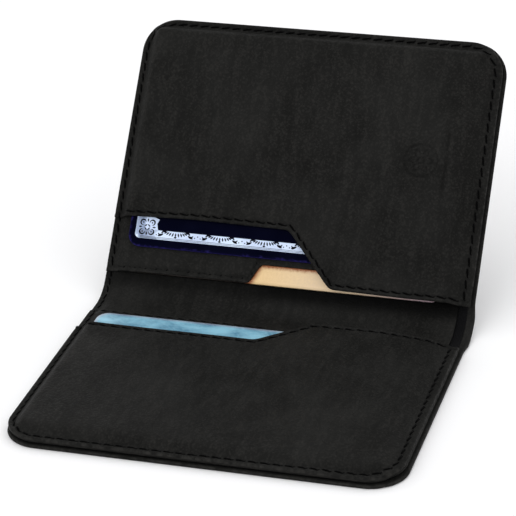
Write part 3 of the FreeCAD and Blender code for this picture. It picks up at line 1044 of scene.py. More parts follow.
@dataclass(frozen=True)
class GoldPrint(Finish):
    """Satin gold card face with a fine sparkle, a painted orange-brown shadow along the middle
    pocket's edges and a painted dark shadow under its left lip.
    """

    # where the painted shadow beside the middle pocket's mouth begins
    border: float = 6.3

    def build(self) -> bpy.types.Material:
        """Make the material.

        Returns:
            The material.
        """
        material, wire = self.start("gold_satin_print")
        place = wire.place()
        clouds = self.group(wire, self.effects.clouds, Place=place, Large=0.1, Small=1.8)
        apart = wire.node("ShaderNodeSeparateXYZ", {0: place}).outputs
        pale = wire.span(apart[0], -12.0, 14.0)
        base = wire.mix(pale, colour(218, 184, 130), colour(214, 190, 160))
        base = wire.mix(wire.math("MULTIPLY", clouds["Fine"], 0.45), base, colour(236, 208, 160))
        violet = wire.span(apart[0], 14.0, 40.0)
        base = wire.mix(wire.math("MULTIPLY", violet, 0.75), base, colour(176, 150, 176))
        # painted shadow, tinted orange-brown, along the middle pocket's mouth and along its slanted
        # edge
        ragged = wire.math("ADD", apart[1], wire.math("MULTIPLY", clouds["Fine"], 0.5))
        pocket_edge_shadow = wire.span(ragged, self.border - 0.4, self.border + 0.9)
        slanted = wire.math("SUBTRACT", ragged, wire.math("MULTIPLY", apart[0], 2.1))
        left = wire.span(slanted, 18.6, 22.8)
        base = wire.mix(wire.math("MAXIMUM", pocket_edge_shadow, left), base, colour(140, 74, 24))
        # painted shadow: dark brown where the card runs under the middle pocket's left lip
        base = wire.mix(wire.span(apart[0], -9.0, -11.5), base, colour(30, 20, 14))
        rough = wire.span(clouds["Fine"], 0.0, 1.0, 0.34, 0.5)
        normal = self.bump(wire, clouds["Fine"], 0.15, 0.02)
        self.surface(wire, base, rough, normal, Metallic=0.15)
        return material


@dataclass(frozen=True)
class Plastic(Finish):
    """Card plastic or ink in one colour, with faint handling marks."""

    name: str = "plastic"
    main: tuple = colour(1, 2, 18)
    rim: tuple = colour(52, 46, 118)
    roughness: float = 0.4
    gloss: float = 0.01

    def build(self) -> bpy.types.Material:
        """Make the material.

        Returns:
            The material.
        """
        material, wire = self.start(self.name)
        place = wire.place()
        clouds = self.group(wire, self.effects.clouds, Place=place, Large=0.15, Small=1.2)
        wear = self.group(wire, self.effects.wear, Place=place, Edge=wire.mask("edge"), Reach=0.2)
        lighter = tuple(min(1.0, part * 1.25 + 0.0006) for part in self.main[:3]) + (1.0,)
        base = wire.mix(clouds["Broad"], self.main, lighter)
        border = wire.math("MULTIPLY", wire.math("POWER", wire.mask("edge"), 4.0), 0.7)
        base = wire.mix(wire.math("MAXIMUM", wear["Mask"], border), base, self.rim)
        rough = wire.span(clouds["Fine"], 0.0, 1.0, self.roughness - 0.05, self.roughness + 0.07)
        normal = self.bump(wire, clouds["Fine"], 0.08, 0.02)
        self.surface(wire, base, rough, normal, Specular_IOR_Level=self.gloss)
        return material


class Finishes:
    """Every finish of the holder, made once."""

    def __init__(self) -> None:
        """Build the shared effects and the materials."""
        effects = Effects()
        self.leather = Leather(effects).build()
        self.lining = Lining(effects).build()
        self.film = Film(effects).build()
        self.thread = Thread(effects).build()
        self.blue = BluePrint(effects).build()
        self.gold = GoldPrint(effects).build()
        self.navy = Plastic(effects, "navy_plastic").build()
        pale, pale_rim, black = colour(196, 210, 238), colour(220, 228, 246), colour(8, 8, 18)
        self.pale_ink = Plastic(effects, "pale_ink", pale, pale_rim, 0.5).build()
        self.dark_ink = Plastic(effects, "dark_ink", black, black, 0.5).build()


# ---- stitching

@dataclass
class Seam:
    """A row of stitches along a path on one panel."""

    side: Side
    path: Array
    surface: Surface
    pitch: float = STITCH_PITCH
    length: float = 2.35
    radius: float = 0.24
    slant: float = 11.0
    lift: float = 0.06
    plunge: float = 1.9
    taper: float = 0.25
    ply_depth: float = 0.13
    ply_turn: float = 4.5
    slit: float = 0.58
    slit_wide: float = 0.36
    slit_thick: float = 0.09
    slit_lean: float = 48.0
    slit_level: float = 0.01
    slit_sink: float = 0.25
    face: float = 1.0
    rings: int = 9
    spokes: int = 8

    def stations(self) -> tuple[Array, Array]:
        """Evenly spaced stitch centres.

        Returns:
            The centres, and the path's direction at each, as (x, s) rows.
        """
        runs = np.diff(self.path, axis=0)
        lengths = np.hypot(runs[:, 0], runs[:, 1])
        along = np.concatenate([[0.0], np.cumsum(lengths)])
        count = max(1, round(along[-1] / self.pitch))
        marks = (np.arange(count) + 0.5) * along[-1] / count
        look = 0.2

        def spots(at: Array) -> Array:
            """The path's points (x, s) at some distances along it."""
            return np.stack([np.interp(at, along, self.path[:, axis]) for axis in (0, 1)], axis=1)

        way = spots(marks + look) - spots(marks - look)
        return spots(marks), way / np.linalg.norm(way, axis=1, keepdims=True)

    def build(self, name: str, material: bpy.types.Material) -> bpy.types.Object:
        """Make the row's threads.

        Args:
            name: The piece's name.
            material: Its finish.

        Returns:
            The object, one closed form for each stitch and one for each awl slit.
        """
        parts = MeshParts()
        centres, ways = self.stations()
        for centre, way in zip(centres, ways):
            tilt = math.radians(self.slant)
            turned = np.array([
                way[0] * math.cos(tilt) - way[1] * math.sin(tilt),
                way[0] * math.sin(tilt) + way[1] * math.cos(tilt),
            ])
            self._thread(parts, centre, turned)
            self._slit(parts, centre + turned * self.length / 2, way)
        return parts.build(name, material)

    def _frame(self, spots: Array) -> tuple[Array, Array]:
        """Points on the leather and the way out of it.

        Args:
            spots: Places (x, s).

        Returns:
            The points, and the unit normals.
        """
        x, s = spots[:, 0], spots[:, 1]
        level = self.surface(x, s)
        on = SECTION.place(self.side, x, s, level)
        out = (SECTION.place(self.side, x, s, level + 1.0) - on) / MM * self.face
        return on, out

    def _thread(self, parts: MeshParts, centre: Array, way: Array) -> None:
        """Add one stitch, a two-ply thread that rises from one slit and dives into the next.

        Args:
            parts: Where the closed form goes.
            centre: The stitch's centre (x, s).
            way: Its direction.
        """
        share = np.linspace(-1.0, 1.0, self.rings)
        spots = centre + np.outer(share * self.length / 2, way)
        on, out = self._frame(spots)
        dive = self.lift - (self.radius * self.plunge + self.lift) * np.abs(share) ** 5
        axis = on + out * dive[:, None] * MM
        ahead = np.gradient(axis, axis=0)
        ahead /= np.linalg.norm(ahead, axis=1, keepdims=True)
        across = np.cross(out, ahead)
        across /= np.linalg.norm(across, axis=1, keepdims=True)
        upward = np.cross(ahead, across)
        angle = np.linspace(0.0, 2 * math.pi, self.spokes, endpoint=False)
        twist = np.cos(2 * (angle[None, :] - share[:, None] * self.ply_turn))
        ply = 1.0 + self.ply_depth * twist
        girth = self.radius * (1.0 - self.taper * share**2)[:, None] * ply * MM
        ring = (axis[:, None, :] + girth[..., None] * (
            np.cos(angle)[None, :, None] * across[:, None, :]
            + np.sin(angle)[None, :, None] * upward[:, None, :]
        ))
        self._closed_tube(parts, ring, centre)

    def _slit(self, parts: MeshParts, centre: Array, way: Array) -> None:
        """Add the slanted awl slit between two stitches, a flat dark lens pressed in the leather.

        Args:
            parts: Where the closed form goes.
            centre: The slit's centre (x, s).
            way: The seam's direction.
        """
        on, out = self._frame(centre[None, :])
        beside = self._frame(np.array([centre + way * 0.5]))[0] - on
        beside = beside[0] / np.linalg.norm(beside[0])
        normal = out[0]
        across = np.cross(normal, beside)
        lean = math.radians(self.slit_lean)
        long = beside * math.cos(lean) + across * math.sin(lean)
        short = np.cross(normal, long)
        turn = np.linspace(0.0, 2 * math.pi, self.spokes, endpoint=False)
        cap = 0.12
        polar = np.linspace(cap, math.pi - cap, 5)
        wide = np.sin(polar)[:, None]
        form = (
            long * (wide * np.cos(turn))[..., None] * self.slit
            + short * (wide * np.sin(turn))[..., None] * self.slit * self.slit_wide
            + normal * (np.cos(polar)[:, None] * np.ones_like(turn))[..., None] * self.slit_thick
        )
        level = self.slit_level + self.slit_sink * min(self.lift, 0.0)
        self._closed_tube(parts, on[0] + normal * level * MM + form * MM, centre)

    def _closed_tube(self, parts: MeshParts, ring: Array, centre: Array) -> None:
        """Close a tube given as rings of points and add it.

        Args:
            parts: Where the closed form goes.
            ring: The points, by ring and spoke.
            centre: Where it lies (x, s).
        """
        rows, spokes = ring.shape[:2]
        net = np.arange(rows * spokes).reshape(rows, spokes)
        wrapped = np.concatenate([net, net[:, :1]], axis=1)
        faces = _quads(wrapped, True)
        faces += [tuple(net[0].tolist()), tuple(net[-1].tolist()[::-1])]
        flat = ring.reshape(-1, 3)
        parts.add(
            flat, faces,
            hide=flat / MM + np.array([centre[0], centre[1], 0.0]) * 0.37,
            edge=np.zeros(len(flat)),
        )


def side_line(x: float, start: float, finish: float) -> Array:
    """A straight path along s at one x."""
    return np.array([[x, start], [x, finish]])


def round_path(side: Side, inset: float, right_inset: float, start: float, finish: float) -> Array:
    """The path of the stitches round a panel's three free sides.

    Args:
        side: The panel.
        inset: The seam's distance from the left and outer edges.
        right_inset: Its distance from the right edge.
        start: Where it begins on the left, as a distance from the fold.
        finish: Where it ends on the right.

    Returns:
        Points (x, s) along it.
    """
    left, right = -SECTION.half_width + inset, SECTION.half_width - right_inset
    outer = SECTION.length(side) - inset
    radius = SECTION.corner - inset
    quarter = np.linspace(0.0, math.pi / 2, 16)
    turn = np.stack([1.0 - np.cos(quarter), np.sin(quarter)], axis=1) * radius
    first = np.array([left, outer - radius]) + turn
    last = np.array([right, outer - radius]) + turn[::-1] * (-1.0, 1.0)
    return np.concatenate([[[left, start]], first, last, [[right, finish]]])


def mouth_path(mouth: Mouth, inset: float, start: float, finish: float) -> Array:
    """The path of the stitches along a pocket's mouth.

    Args:
        mouth: The mouth.
        inset: The seam's distance from it.
        start: The path's first x.
        finish: Its last x.

    Returns:
        Points (x, s) along it.
    """
    x = np.linspace(start, finish, 240)
    return np.stack([x, mouth.at(x) + inset / mouth.lean(x)], axis=1)


# ---- panels and layers

@dataclass
class Relief:
    """Soft shapes that handling leaves in leather, as heights in millimetres."""

    seed: int
    depth: float = 0.09
    waves: int = 6
    shortest: float = 16.0
    longest: float = 42.0

    def at(self, x: Array, s: Array) -> Array:
        """The swell at each place.

        Args:
            x: Places along the fold.
            s: Distances from the fold.

        Returns:
            Heights, about zero.
        """
        chance = np.random.default_rng(self.seed)
        total = np.zeros_like(x)
        for _ in range(self.waves):
            turn, phase = chance.uniform(0, 2 * math.pi, 2)
            wave = chance.uniform(self.shortest, self.longest)
            along = (x * math.cos(turn) + s * math.sin(turn)) / wave
            total = total + np.sin(2 * math.pi * along + phase)
        return self.depth * total / math.sqrt(self.waves)


def pucker(along: Array, away: Array) -> Array:
    """How far a row of stitches pulls the leather in.

    Args:
        along: Distance along the seam.
        away: Distance from the seam.

    Returns:
        The depth at each place.
    """
    pull = 0.8 + 0.2 * np.cos(2 * math.pi * along / STITCH_PITCH)
    return hump(away, 0.0, 0.55) * 0.2 * pull


def painted_seam_shade(*away: Array) -> Array:
    """Painted shade in the grooves that stitches lie in.

    Args:
        *away: Distances from each seam.

    Returns:
        The painted shade at each place.
    """
    return 0.22 * np.max([hump(distance, 0.0, 0.38) for distance in away], axis=0)


def rolled_lip(mouth: Array, seam: float) -> Array:
    """A pocket's rounded lip, and behind it the groove that its stitches press."""
    return 0.2 * hump(mouth, 0.5, 0.45) - 0.18 * hump(mouth, seam, 0.38)


@dataclass
class Panel:
    """What both panels share: cover, note pocket, inner leather and their seams."""

    finishes: Finishes
    side: Side = Side.NEAR
    cover_thick: float = SECTION.cover
    lining_thick: float = 0.3
    note_space: float = 0.3
    inner_thick: float = 0.5
    rim_gap: float = 0.1
    seam_inset: float = 1.7
    right_seam_inset: float = 2.7
    edge_seam_start: float = 2.6
    edge_seam_right: float = 47.3
    edge_seam_gap: float = 1.4
    mouth_seam: float = 1.25
    mouth_seam_span: tuple[float, float] = (-46.4, 46.2)
    groove_wide: float = 0.5
    cover_groove: float = 0.16
    inner_groove: float = 0.12
    rim_span: tuple[float, float] = (1.9, 4.2)
    stack_inset: float = 0.3
    stack_right_inset: float = 0.8
    spine_short: float = 3.2
    flare: float = 0.5
    film_inset: float = 4.9
    outer_set_back: float = 0.0

    @property
    def word(self) -> str:
        """The panel's word in the pieces' names."""
        return "near" if self.side is Side.NEAR else "far"

    @property
    def stack(self) -> Outline:
        """The outline that the inner layers share."""
        return Outline(self.side, self.stack_inset, self.stack_right_inset)

    @property
    def under_stack(self) -> Outline:
        """The outline of the layers whose outer edge stays back under the pocket's turned edge."""
        return Outline(self.side, self.stack_inset, self.stack_right_inset, self.outer_set_back)

    def sewn(self, x: Array, s: Array) -> Array:
        """0 where the note pocket is sewn shut, 1 where it is open."""
        return ramp(*self.rim_span, Outline(self.side).sewn_margin(x, s))

    def rim(self, x: Array, s: Array) -> Array:
        """0 on the sewn rim, 1 inside it."""
        return ramp(*self.rim_span, Outline(self.side).margin(x, s))

    def cover_top(self, x: Array, s: Array) -> Array:
        """The cover's inner face."""
        return np.full_like(x, self.cover_thick)

    def cover_under(self, x: Array, s: Array) -> Array:
        """The cover's outer face, with the grooves that its stitches lie in."""
        away = Outline(self.side).sewn_margin(x, s) - self.seam_inset
        return self.cover_groove * hump(away, 0.0, self.groove_wide)

    def lining_top(self, x: Array, s: Array) -> Array:
        """The note lining's upper face."""
        rise = blend_values(self.rim_gap * 0.9, self.lining_thick, self.sewn(x, s))
        return self.cover_thick + rise

    def inner_low(self, x: Array, s: Array) -> Array:
        """The inner leather's underside."""
        free = self.lining_thick + self.note_space
        return self.cover_thick + blend_values(self.rim_gap, free, self.sewn(x, s))

    def edge_seam_away(self, x: Array, s: Array) -> Array:
        """Signed distance from the seam round the panel, which sits further in on the right."""
        seam_at = blend_values(self.seam_inset, self.right_seam_inset, ramp(20.0, 30.0, x))
        return Outline(self.side).margin(x, s) - seam_at

    def inner_top(self, x: Array, s: Array) -> Array:
        """The inner leather's upper face.

        Args:
            x: Places along the fold.
            s: Distances from the fold.

        Returns:
            Heights over the cover's outer face.
        """
        away = Outline(self.side).margin(x, s) - self.seam_inset
        left_only = ramp(2.0, -2.0, x)
        groove = self.inner_groove * hump(away, 0.0, self.groove_wide) * left_only
        return self.inner_low(x, s) + self.inner_thick - groove

    def cross_fold(self, piece: bpy.types.Object) -> None:
        """Bake a piece that crosses between this panel and the spine in place; the fold's blend
        ends are worked out but not used.
        """
        start, end = SECTION.blend_ends(self.side)
        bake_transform(piece)

    def finish(self, piece: bpy.types.Object, slot: Slot, nodes: Sequence[str],
               over_fold: bool = False) -> None:
        """Put a piece on its body and say what it stands for.

        Args:
            piece: The piece.
            slot: Not used.
            nodes: The CAD nodes that it stands for.
            over_fold: Whether it bends over the fold to the spine.
        """
        if over_fold:
            self.cross_fold(piece)
        else:
            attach(piece, self.side.value)
        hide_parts(*nodes)
        LOG.info("%s: %d faces", piece.name, len(piece.data.polygons))

    def sew(self, name: str, node: str, path: Array, surface: Surface, over_fold: bool = False,
            **style: float) -> None:
        """Make one row of stitches.

        Args:
            name: The piece's name.
            node: The CAD node that it stands for.
            path: Where it runs, as points (x, s).
            surface: The leather that it lies on.
            over_fold: Whether it bends over the fold to the spine.
            **style: Other settings of the seam.
        """
        piece = Seam(self.side, path, surface, **style).build(name, self.finishes.thread)
        self.finish(piece, Slot.THREAD, [node], over_fold)

    def sew_edge(self, mouth: Mouth, surface: Surface) -> None:
        """Make the seam round the panel, from the fold to just short of the upper pocket's mouth.

        Args:
            mouth: The upper pocket's mouth.
            surface: The leather that the seam lies on.
        """
        finish = float(mouth.at(np.array([self.edge_seam_right]))[0]) + self.edge_seam_gap
        path = round_path(
            self.side, self.seam_inset, self.right_seam_inset, self.edge_seam_start, finish
        )
        self.sew(f"{self.word}_edge_stitches", f"{self.word}_perimeter_stitching", path, surface)

    def build_cover(self) -> None:
        """The cover's half, from the outer edge to the middle of the spine."""
        sheet = Sheet(
            Outline(self.side), self.cover_under, self.cover_top, rounding=0.5,
            pull=lambda x, s: self.flare * ramp(30.0, 48.0, x) * ramp(3.5, -1.5, s),
        )
        piece = sheet.build(f"{self.word}_cover_leather", self.finishes.leather)
        self.finish(piece, Slot.LEATHER, [f"{self.word}_cover", "spine_cover"], over_fold=True)

    def build_note_lining(self) -> None:
        """The lining's half."""
        base = self.cover_thick + 0.005
        sheet = Sheet(
            Outline(self.side, 0.8, 1.6), lambda x, s: np.full_like(x, base), self.lining_top,
            rounding=0.12, step=1.8,
        )
        piece = sheet.build(f"{self.word}_note_pocket_lining", self.finishes.lining)
        nodes = [f"{self.word}_note_lining", "spine_note_lining"]
        self.finish(piece, Slot.LINING, nodes, over_fold=True)

    def build_inner(self) -> None:
        """The inner leather's half, which stops short of the right edge round the spine."""
        wear = Relief(seed=11, depth=0.05, shortest=9, longest=22)

        def high(x: Array, s: Array) -> Array:
            """The upper face, lightly wrinkled round the spine.

            Args:
                x: Places along the fold.
                s: Distances from the fold.

            Returns:
                Heights over the cover's outer face.
            """
            soft = ramp(4.0, 0.0, s) * ramp(2.0, 7.0, x + SECTION.half_width)
            round_spine = -s if self.side is Side.NEAR else SECTION.arc + s
            return self.inner_top(x, s) + wear.at(x, round_spine) * soft

        def pull(x: Array, s: Array) -> Array:
            """How far the right edge is drawn in at the spine."""
            return -self.spine_short * ramp(22.0, 44.0, x) * ramp(6.5, 2.5, s)

        def shade(x: Array, s: Array) -> Array:
            """Painted shadow where the leather goes down into the far fold, under the far pockets.
            """
            above = s if self.side is Side.FAR else -SECTION.arc - s
            return ramp(-4.6, 0.3, above) * blend_values(0.55, 0.92, ramp(-12.0, -2.0, x))

        sheet = Sheet(
            self.under_stack, self.inner_low, high, rounding=0.25, pull=pull, shade=shade,
        )
        piece = sheet.build(f"{self.word}_inner_leather", self.finishes.leather)
        nodes = [f"{self.word}_inner_panel", "spine_inner_panel"]
        self.finish(piece, Slot.LEATHER, nodes, over_fold=True)

    def build_film(self) -> None:
        """The shielding film between the inner leather and the pockets."""
        base = self.cover_thick + self.lining_thick + self.note_space + self.inner_thick
        thick = 0.08
        sheet = Sheet(
            Outline(self.side, self.film_inset), lambda x, s: np.full_like(x, base),
            lambda x, s: np.full_like(x, base + thick), mouth=straight_mouth(self.film_inset + 2.0),
            rounding=0.04, step=2.5,
        )
        piece = sheet.build(f"{self.word}_shield", self.finishes.film)
        self.finish(piece, Slot.FILM, [f"{self.word}_shielding_film"])

    def build_fold_stitches(self) -> None:
        """The left seam's stitches on the inner leather, round this panel's half of the spine."""
        x = -SECTION.half_width + self.seam_inset
        path = side_line(x, -SECTION.arc / 2, 2.2)
        self.sew(
            f"{self.word}_fold_stitches", "spine_side_stitching", path, self.inner_top,
            over_fold=True, pitch=2.6, length=2.0,
        )

    def build_cover_stitches(self) -> None:
        """The seam's other face, sunk in its groove on the outside of the cover."""
        outer = SECTION.length(self.side)
        path = round_path(
            self.side, self.seam_inset, self.right_seam_inset, self.edge_seam_start, outer
        )
        clear = path[:, 0] < SECTION.half_width - SECTION.corner
        sunk = 0.14
        self.sew(
            f"{self.word}_cover_stitches", f"{self.word}_perimeter_stitching", path[clear],
            lambda x, s: self.cover_under(x, s) + sunk, face=-1.0, lift=0.1, slit=0.3,
        )


@dataclass
class NearPanel(Panel):
    """The near panel: one pocket with its back, its front and the blue card between them."""

    side: Side = Side.NEAR
    back_thick: float = 0.7
    back_rim_thick: float = 0.55
    back_start: float = 4.5
    back_seam: float = 5.4
    card_space: float = 0.96
    front_thick: float = 0.9
    front_rim_thick: float = 0.7
    crown: float = 0.3
    outer_set_back: float = 1.0

    def back_top(self, x: Array, s: Array) -> Array:
        """The pocket back's upper face.

        Args:
            x: Places along the fold.
            s: Distances from the fold.

        Returns:
            Heights over the cover's outer face.
        """
        seam = pucker(x, s - self.back_seam) * ramp(1.0, -3.0, x) * 0.7
        return self.inner_top(x, s) + blend_values(
            self.back_rim_thick, self.back_thick, self.rim(x, s)
        ) - seam

    def opening(self, x: Array, s: Array) -> Array:
        """1 where the card holds the pocket open, 0 where the pocket is sewn flat.

        Args:
            x: Places along the fold.
            s: Distances from the fold.

        Returns:
            The shares.
        """
        left, right = x - self.stack.left, self.stack.right - x
        outer = self.stack.length - s
        return ramp(1.7, 4.5, left) * ramp(1.8, 8.9, right) * ramp(1.8, 5.6, outer)

    def front_base(self, x: Array, s: Array) -> Array:
        """Where the pocket front lies, on its back at the rim and over the card inside."""
        return self.back_top(x, s) + self.card_space * self.opening(x, s)

    def front_low(self, x: Array, s: Array) -> Array:
        """The pocket front's underside, turned down round the back's outer edge."""
        turned = ramp(-0.02, -0.4, self.under_stack.margin(x, s))
        return self.front_base(x, s) - self.back_rim_thick * turned

    def front_top(self, x: Array, s: Array) -> Array:
        """The pocket front's upper face, crowned over the card and drawn in at its seams.

        Args:
            x: Places along the fold.
            s: Distances from the fold.

        Returns:
            Heights over the cover's outer face.
        """
        margin = Outline(self.side).margin(x, s)
        mouth = NEAR_MOUTH.margin(x, s)
        thick = blend_values(self.front_rim_thick, self.front_thick, self.rim(x, s))
        crown = ramp(3.0, 17.0, margin) * ramp(0.0, 12.0, mouth) * self.crown
        swell = Relief(seed=3).at(x, s) * ramp(2.5, 9.0, margin)
        lip = rolled_lip(mouth, self.mouth_seam)
        seam = pucker(x + s, self.edge_seam_away(x, s))
        return self.front_base(x, s) + thick + crown + swell + lip - seam + self.creases(x, s)

    def front_shade(self, x: Array, s: Array) -> Array:
        """Painted shade in the grooves along the pocket front's seams."""
        return painted_seam_shade(self.edge_seam_away(x, s), NEAR_MOUTH.margin(x, s) - self.mouth_seam)

    def creases(self, x: Array, s: Array) -> Array:
        """Wrinkles in the right outer corner and below the slant of the mouth.

        Args:
            x: Places along the fold.
            s: Distances from the fold.

        Returns:
            Heights, about zero.
        """
        corner = hump(np.hypot(x - 38.0, (s - 63.0) * 1.2), 0.0, 9.0)
        folds = np.sin((x * 0.35 + s * 1.25) * 1.35) + 0.6 * np.sin((x * 0.2 - s * 0.9) * 1.9 + 1.0)
        below = hump(np.hypot((x - 13.0) * 0.7, s - 10.0), 0.0, 6.0)
        fan = np.sin((x * 0.9 + s * 0.55) * 1.7)
        return 0.11 * corner * folds + 0.06 * below * fan

    def build(self) -> None:
        """Make every piece of the panel."""
        self.build_cover()
        self.build_note_lining()
        self.build_inner()
        self.build_film()
        self.build_back()
        self.build_front()
        self.build_fold_stitches()
        self.build_cover_stitches()
        self.build_stitches()

    def build_back(self) -> None:
        """The pocket's back, with a hollow under it for the shielding film."""
        def low(x: Array, s: Array) -> Array:
            """The underside, hollowed inside the rim."""
            return self.inner_top(x, s) + 0.1 * ramp(4.3, 4.9, Outline(self.side).margin(x, s))

        sheet = Sheet(
            self.under_stack, low, self.back_top, mouth=straight_mouth(self.back_start),
            rounding=0.3,
        )
        piece = sheet.build("near_pocket_back_leather", self.finishes.leather)
        self.finish(piece, Slot.LEATHER, ["near_pocket_back"])

    def build_front(self) -> None:
        """The pocket's front."""
        sheet = Sheet(
            self.stack, self.front_low, self.front_top, mouth=NEAR_MOUTH, rounding=0.42, step=0.8,
            fine_x=((-4.0, 14.0, 0.4),), shade=self.front_shade,
        )
        piece = sheet.build("near_pocket_front_leather", self.finishes.leather)
        self.finish(piece, Slot.LEATHER, ["near_pocket_front"])

    def top(self, x: Array, s: Array) -> Array:
        """The uppermost leather at each place."""
        under = np.where(s > self.back_start, self.back_top(x, s), self.inner_top(x, s))
        return np.where(s > NEAR_MOUTH.at(x), self.front_top(x, s), under)

    def build_stitches(self) -> None:
        """The seams round the panel, along the mouth and along the pocket back's edge."""
        self.sew_edge(NEAR_MOUTH, self.top)
        path = mouth_path(NEAR_MOUTH, self.mouth_seam, *self.mouth_seam_span)
        self.sew("near_mouth_stitches", "near_mouth_stitching", path, self.front_top, slant=14.0)
        path = np.array([[-47.0, self.back_seam], [-1.6, self.back_seam]])
        self.sew(
            "near_back_edge_stitches", "near_back_edge_stitching", path, self.back_top,
            lift=-0.07, slant=6.0, slit=0.3,
        )


@dataclass
class Rosette:
    """A plain pressed ornament: a ring, six petals, a hub and a bar beside them."""

    x: float = 31.5
    s: float = 38.3
    ring: float = 4.4
    petal: float = 3.1
    hub: float = 0.8
    line: float = 0.28
    depth: float = 0.2
    bar_offset: float = 6.6
    bar_half: float = 8.0

    def at(self, x: Array, s: Array) -> Array:
        """How deep the mark is pressed at each place.

        Args:
            x: Places along the fold.
            s: Distances from the fold.

        Returns:
            Depths in millimetres.
        """
        out_x, out_s = x - self.x, s - self.s
        reach, turn = np.hypot(out_x, out_s), np.arctan2(out_s, out_x)
        petals = self.petal * np.abs(np.cos(3.0 * turn)) ** 0.7
        lines = hump(reach, self.ring, self.line) + hump(reach, self.hub, self.line)
        lines = np.maximum(lines, hump(reach, petals, self.line) * ramp(0.9, 1.6, reach))
        along = np.abs(out_s) - self.bar_half
        bar = hump(out_x, self.bar_offset, self.line * 1.3) * ramp(0.5, -0.5, along)
        return self.depth * np.clip(np.maximum(lines, bar), 0.0, 1.0)


@dataclass
class FarPanel(Panel):
    """The far panel: a middle pocket for the gold card and a front pocket for the navy one."""

    side: Side = Side.FAR
    lining_base: float = 2.2
    fabric_thick: float = 0.2
    middle_low_free: float = 3.36
    middle_thick: float = 0.5
    middle_rim_thick: float = 0.55
    front_low_free: float = 5.02
    front_thick: float = 0.6
    front_rim_thick: float = 0.6
    crown: float = 0.18
    stop_seam: float = 60.5
    mark: Rosette = field(default_factory=Rosette)

    def middle_low(self, x: Array, s: Array) -> Array:
        """The middle pocket's underside.

        Args:
            x: Places along the fold.
            s: Distances from the fold.

        Returns:
            Heights over the cover's outer face.
        """
        left, right = x - self.stack.left, self.stack.right - x
        outer = self.stack.length - s
        share = ramp(1.7, 5.6, left) * ramp(1.8, 7.0, right) * ramp(2.2, 12.4, outer)
        return blend_values(self.inner_top(x, s), self.middle_low_free, share)

    def middle_top(self, x: Array, s: Array) -> Array:
        """The middle pocket's upper face.

        Args:
            x: Places along the fold.
            s: Distances from the fold.

        Returns:
            Heights over the cover's outer face.
        """
        mouth = MIDDLE_MOUTH.margin(x, s)
        thick = blend_values(self.middle_rim_thick, self.middle_thick, self.rim(x, s))
        lip = 0.07 * hump(mouth, 0.4, 0.35)
        seam = pucker(x, mouth - self.mouth_seam) * ramp(-6.0, -8.5, x)
        return self.middle_low(x, s) + thick + lip - seam

    def front_low(self, x: Array, s: Array) -> Array:
        """The front pocket's underside.

        Args:
            x: Places along the fold.
            s: Distances from the fold.

        Returns:
            Heights over the cover's outer face.
        """
        left, right = x - self.stack.left, self.stack.right - x
        outer = self.stack.length - s
        share = ramp(1.7, 5.4, left) * ramp(1.8, 7.6, right) * ramp(1.8, 4.2, outer)
        under = self.middle_low(x, s) + self.middle_thick
        return blend_values(under, np.maximum(self.front_low_free, under), share)

    def front_top(self, x: Array, s: Array) -> Array:
        """The front pocket's upper face, with its seams, its lip and the pressed mark.

        Args:
            x: Places along the fold.
            s: Distances from the fold.

        Returns:
            Heights over the cover's outer face.
        """
        margin = Outline(self.side).margin(x, s)
        mouth = FRONT_MOUTH.margin(x, s)
        thick = blend_values(self.front_rim_thick, self.front_thick, self.rim(x, s))
        crown = ramp(3.0, 16.0, margin) * ramp(0.0, 12.0, mouth) * self.crown
        swell = Relief(seed=8, depth=0.07).at(x, s) * ramp(2.5, 9.0, margin)
        lip = rolled_lip(mouth, self.mouth_seam)
        seam = pucker(x + s, self.edge_seam_away(x, s))
        top = self.front_low(x, s) + thick + crown + swell + lip - seam
        return top - self.mark.at(x, s)

    def front_shade(self, x: Array, s: Array) -> Array:
        """Painted shade in the grooves along the front pocket's seams and in the pressed mark.

        Args:
            x: Places along the fold.
            s: Distances from the fold.

        Returns:
            The painted shade.
        """
        mouth = FRONT_MOUTH.margin(x, s) - self.mouth_seam
        # painted shade in the pressed mark's lines
        pressed = self.mark.at(x, s) / self.mark.depth * 0.25
        return np.maximum(painted_seam_shade(self.edge_seam_away(x, s), mouth), pressed)

    def build(self) -> None:
        """Make every piece of the panel."""
        self.build_cover()
        self.build_note_lining()
        self.build_inner()
        self.build_film()
        self.build_linings()
        self.build_middle()
        self.build_front()
        self.build_fold_stitches()
        self.build_cover_stitches()
        self.build_stitches()

    def build_linings(self) -> None:
        """The fabric behind the gold card and the one glued behind the front pocket."""
        base = self.lining_base
        back = Sheet(
            Outline(self.side, 5.0), lambda x, s: np.full_like(x, base),
            lambda x, s: np.full_like(x, base + self.fabric_thick),
            mouth=straight_mouth(7.4), rounding=0.1, step=1.8,
        )
        piece = back.build("far_pocket_fabric", self.finishes.lining)
        self.finish(piece, Slot.LINING, ["far_pocket_lining"])
        low = self.front_low_free - self.fabric_thick
        set_back = Mouth(tuple((x, s + 2.4) for x, s in FRONT_MOUTH.points))
        front = Sheet(
            Outline(self.side, 5.6, 8.6), lambda x, s: np.full_like(x, low),
            lambda x, s: np.full_like(x, self.front_low_free - 0.01),
            mouth=set_back, rounding=0.1, step=1.8,
        )
        piece = front.build("front_pocket_fabric", self.finishes.lining)
        self.finish(piece, Slot.LINING, ["front_pocket_lining"])

    def build_middle(self) -> None:
        """The middle pocket."""
        sheet = Sheet(
            self.stack, self.middle_low, self.middle_top, mouth=MIDDLE_MOUTH, rounding=0.26,
            step=1.0, fine_x=((-11.5, -5.5, 0.22),),
            # painted shade in the groove of the middle mouth's seam
            shade=lambda x, s: painted_seam_shade(MIDDLE_MOUTH.margin(x, s) - self.mouth_seam)
            * ramp(-6.0, -8.5, x),
        )
        piece = sheet.build("middle_pocket_leather", self.finishes.leather)
        self.finish(piece, Slot.LEATHER, ["middle_pocket"])

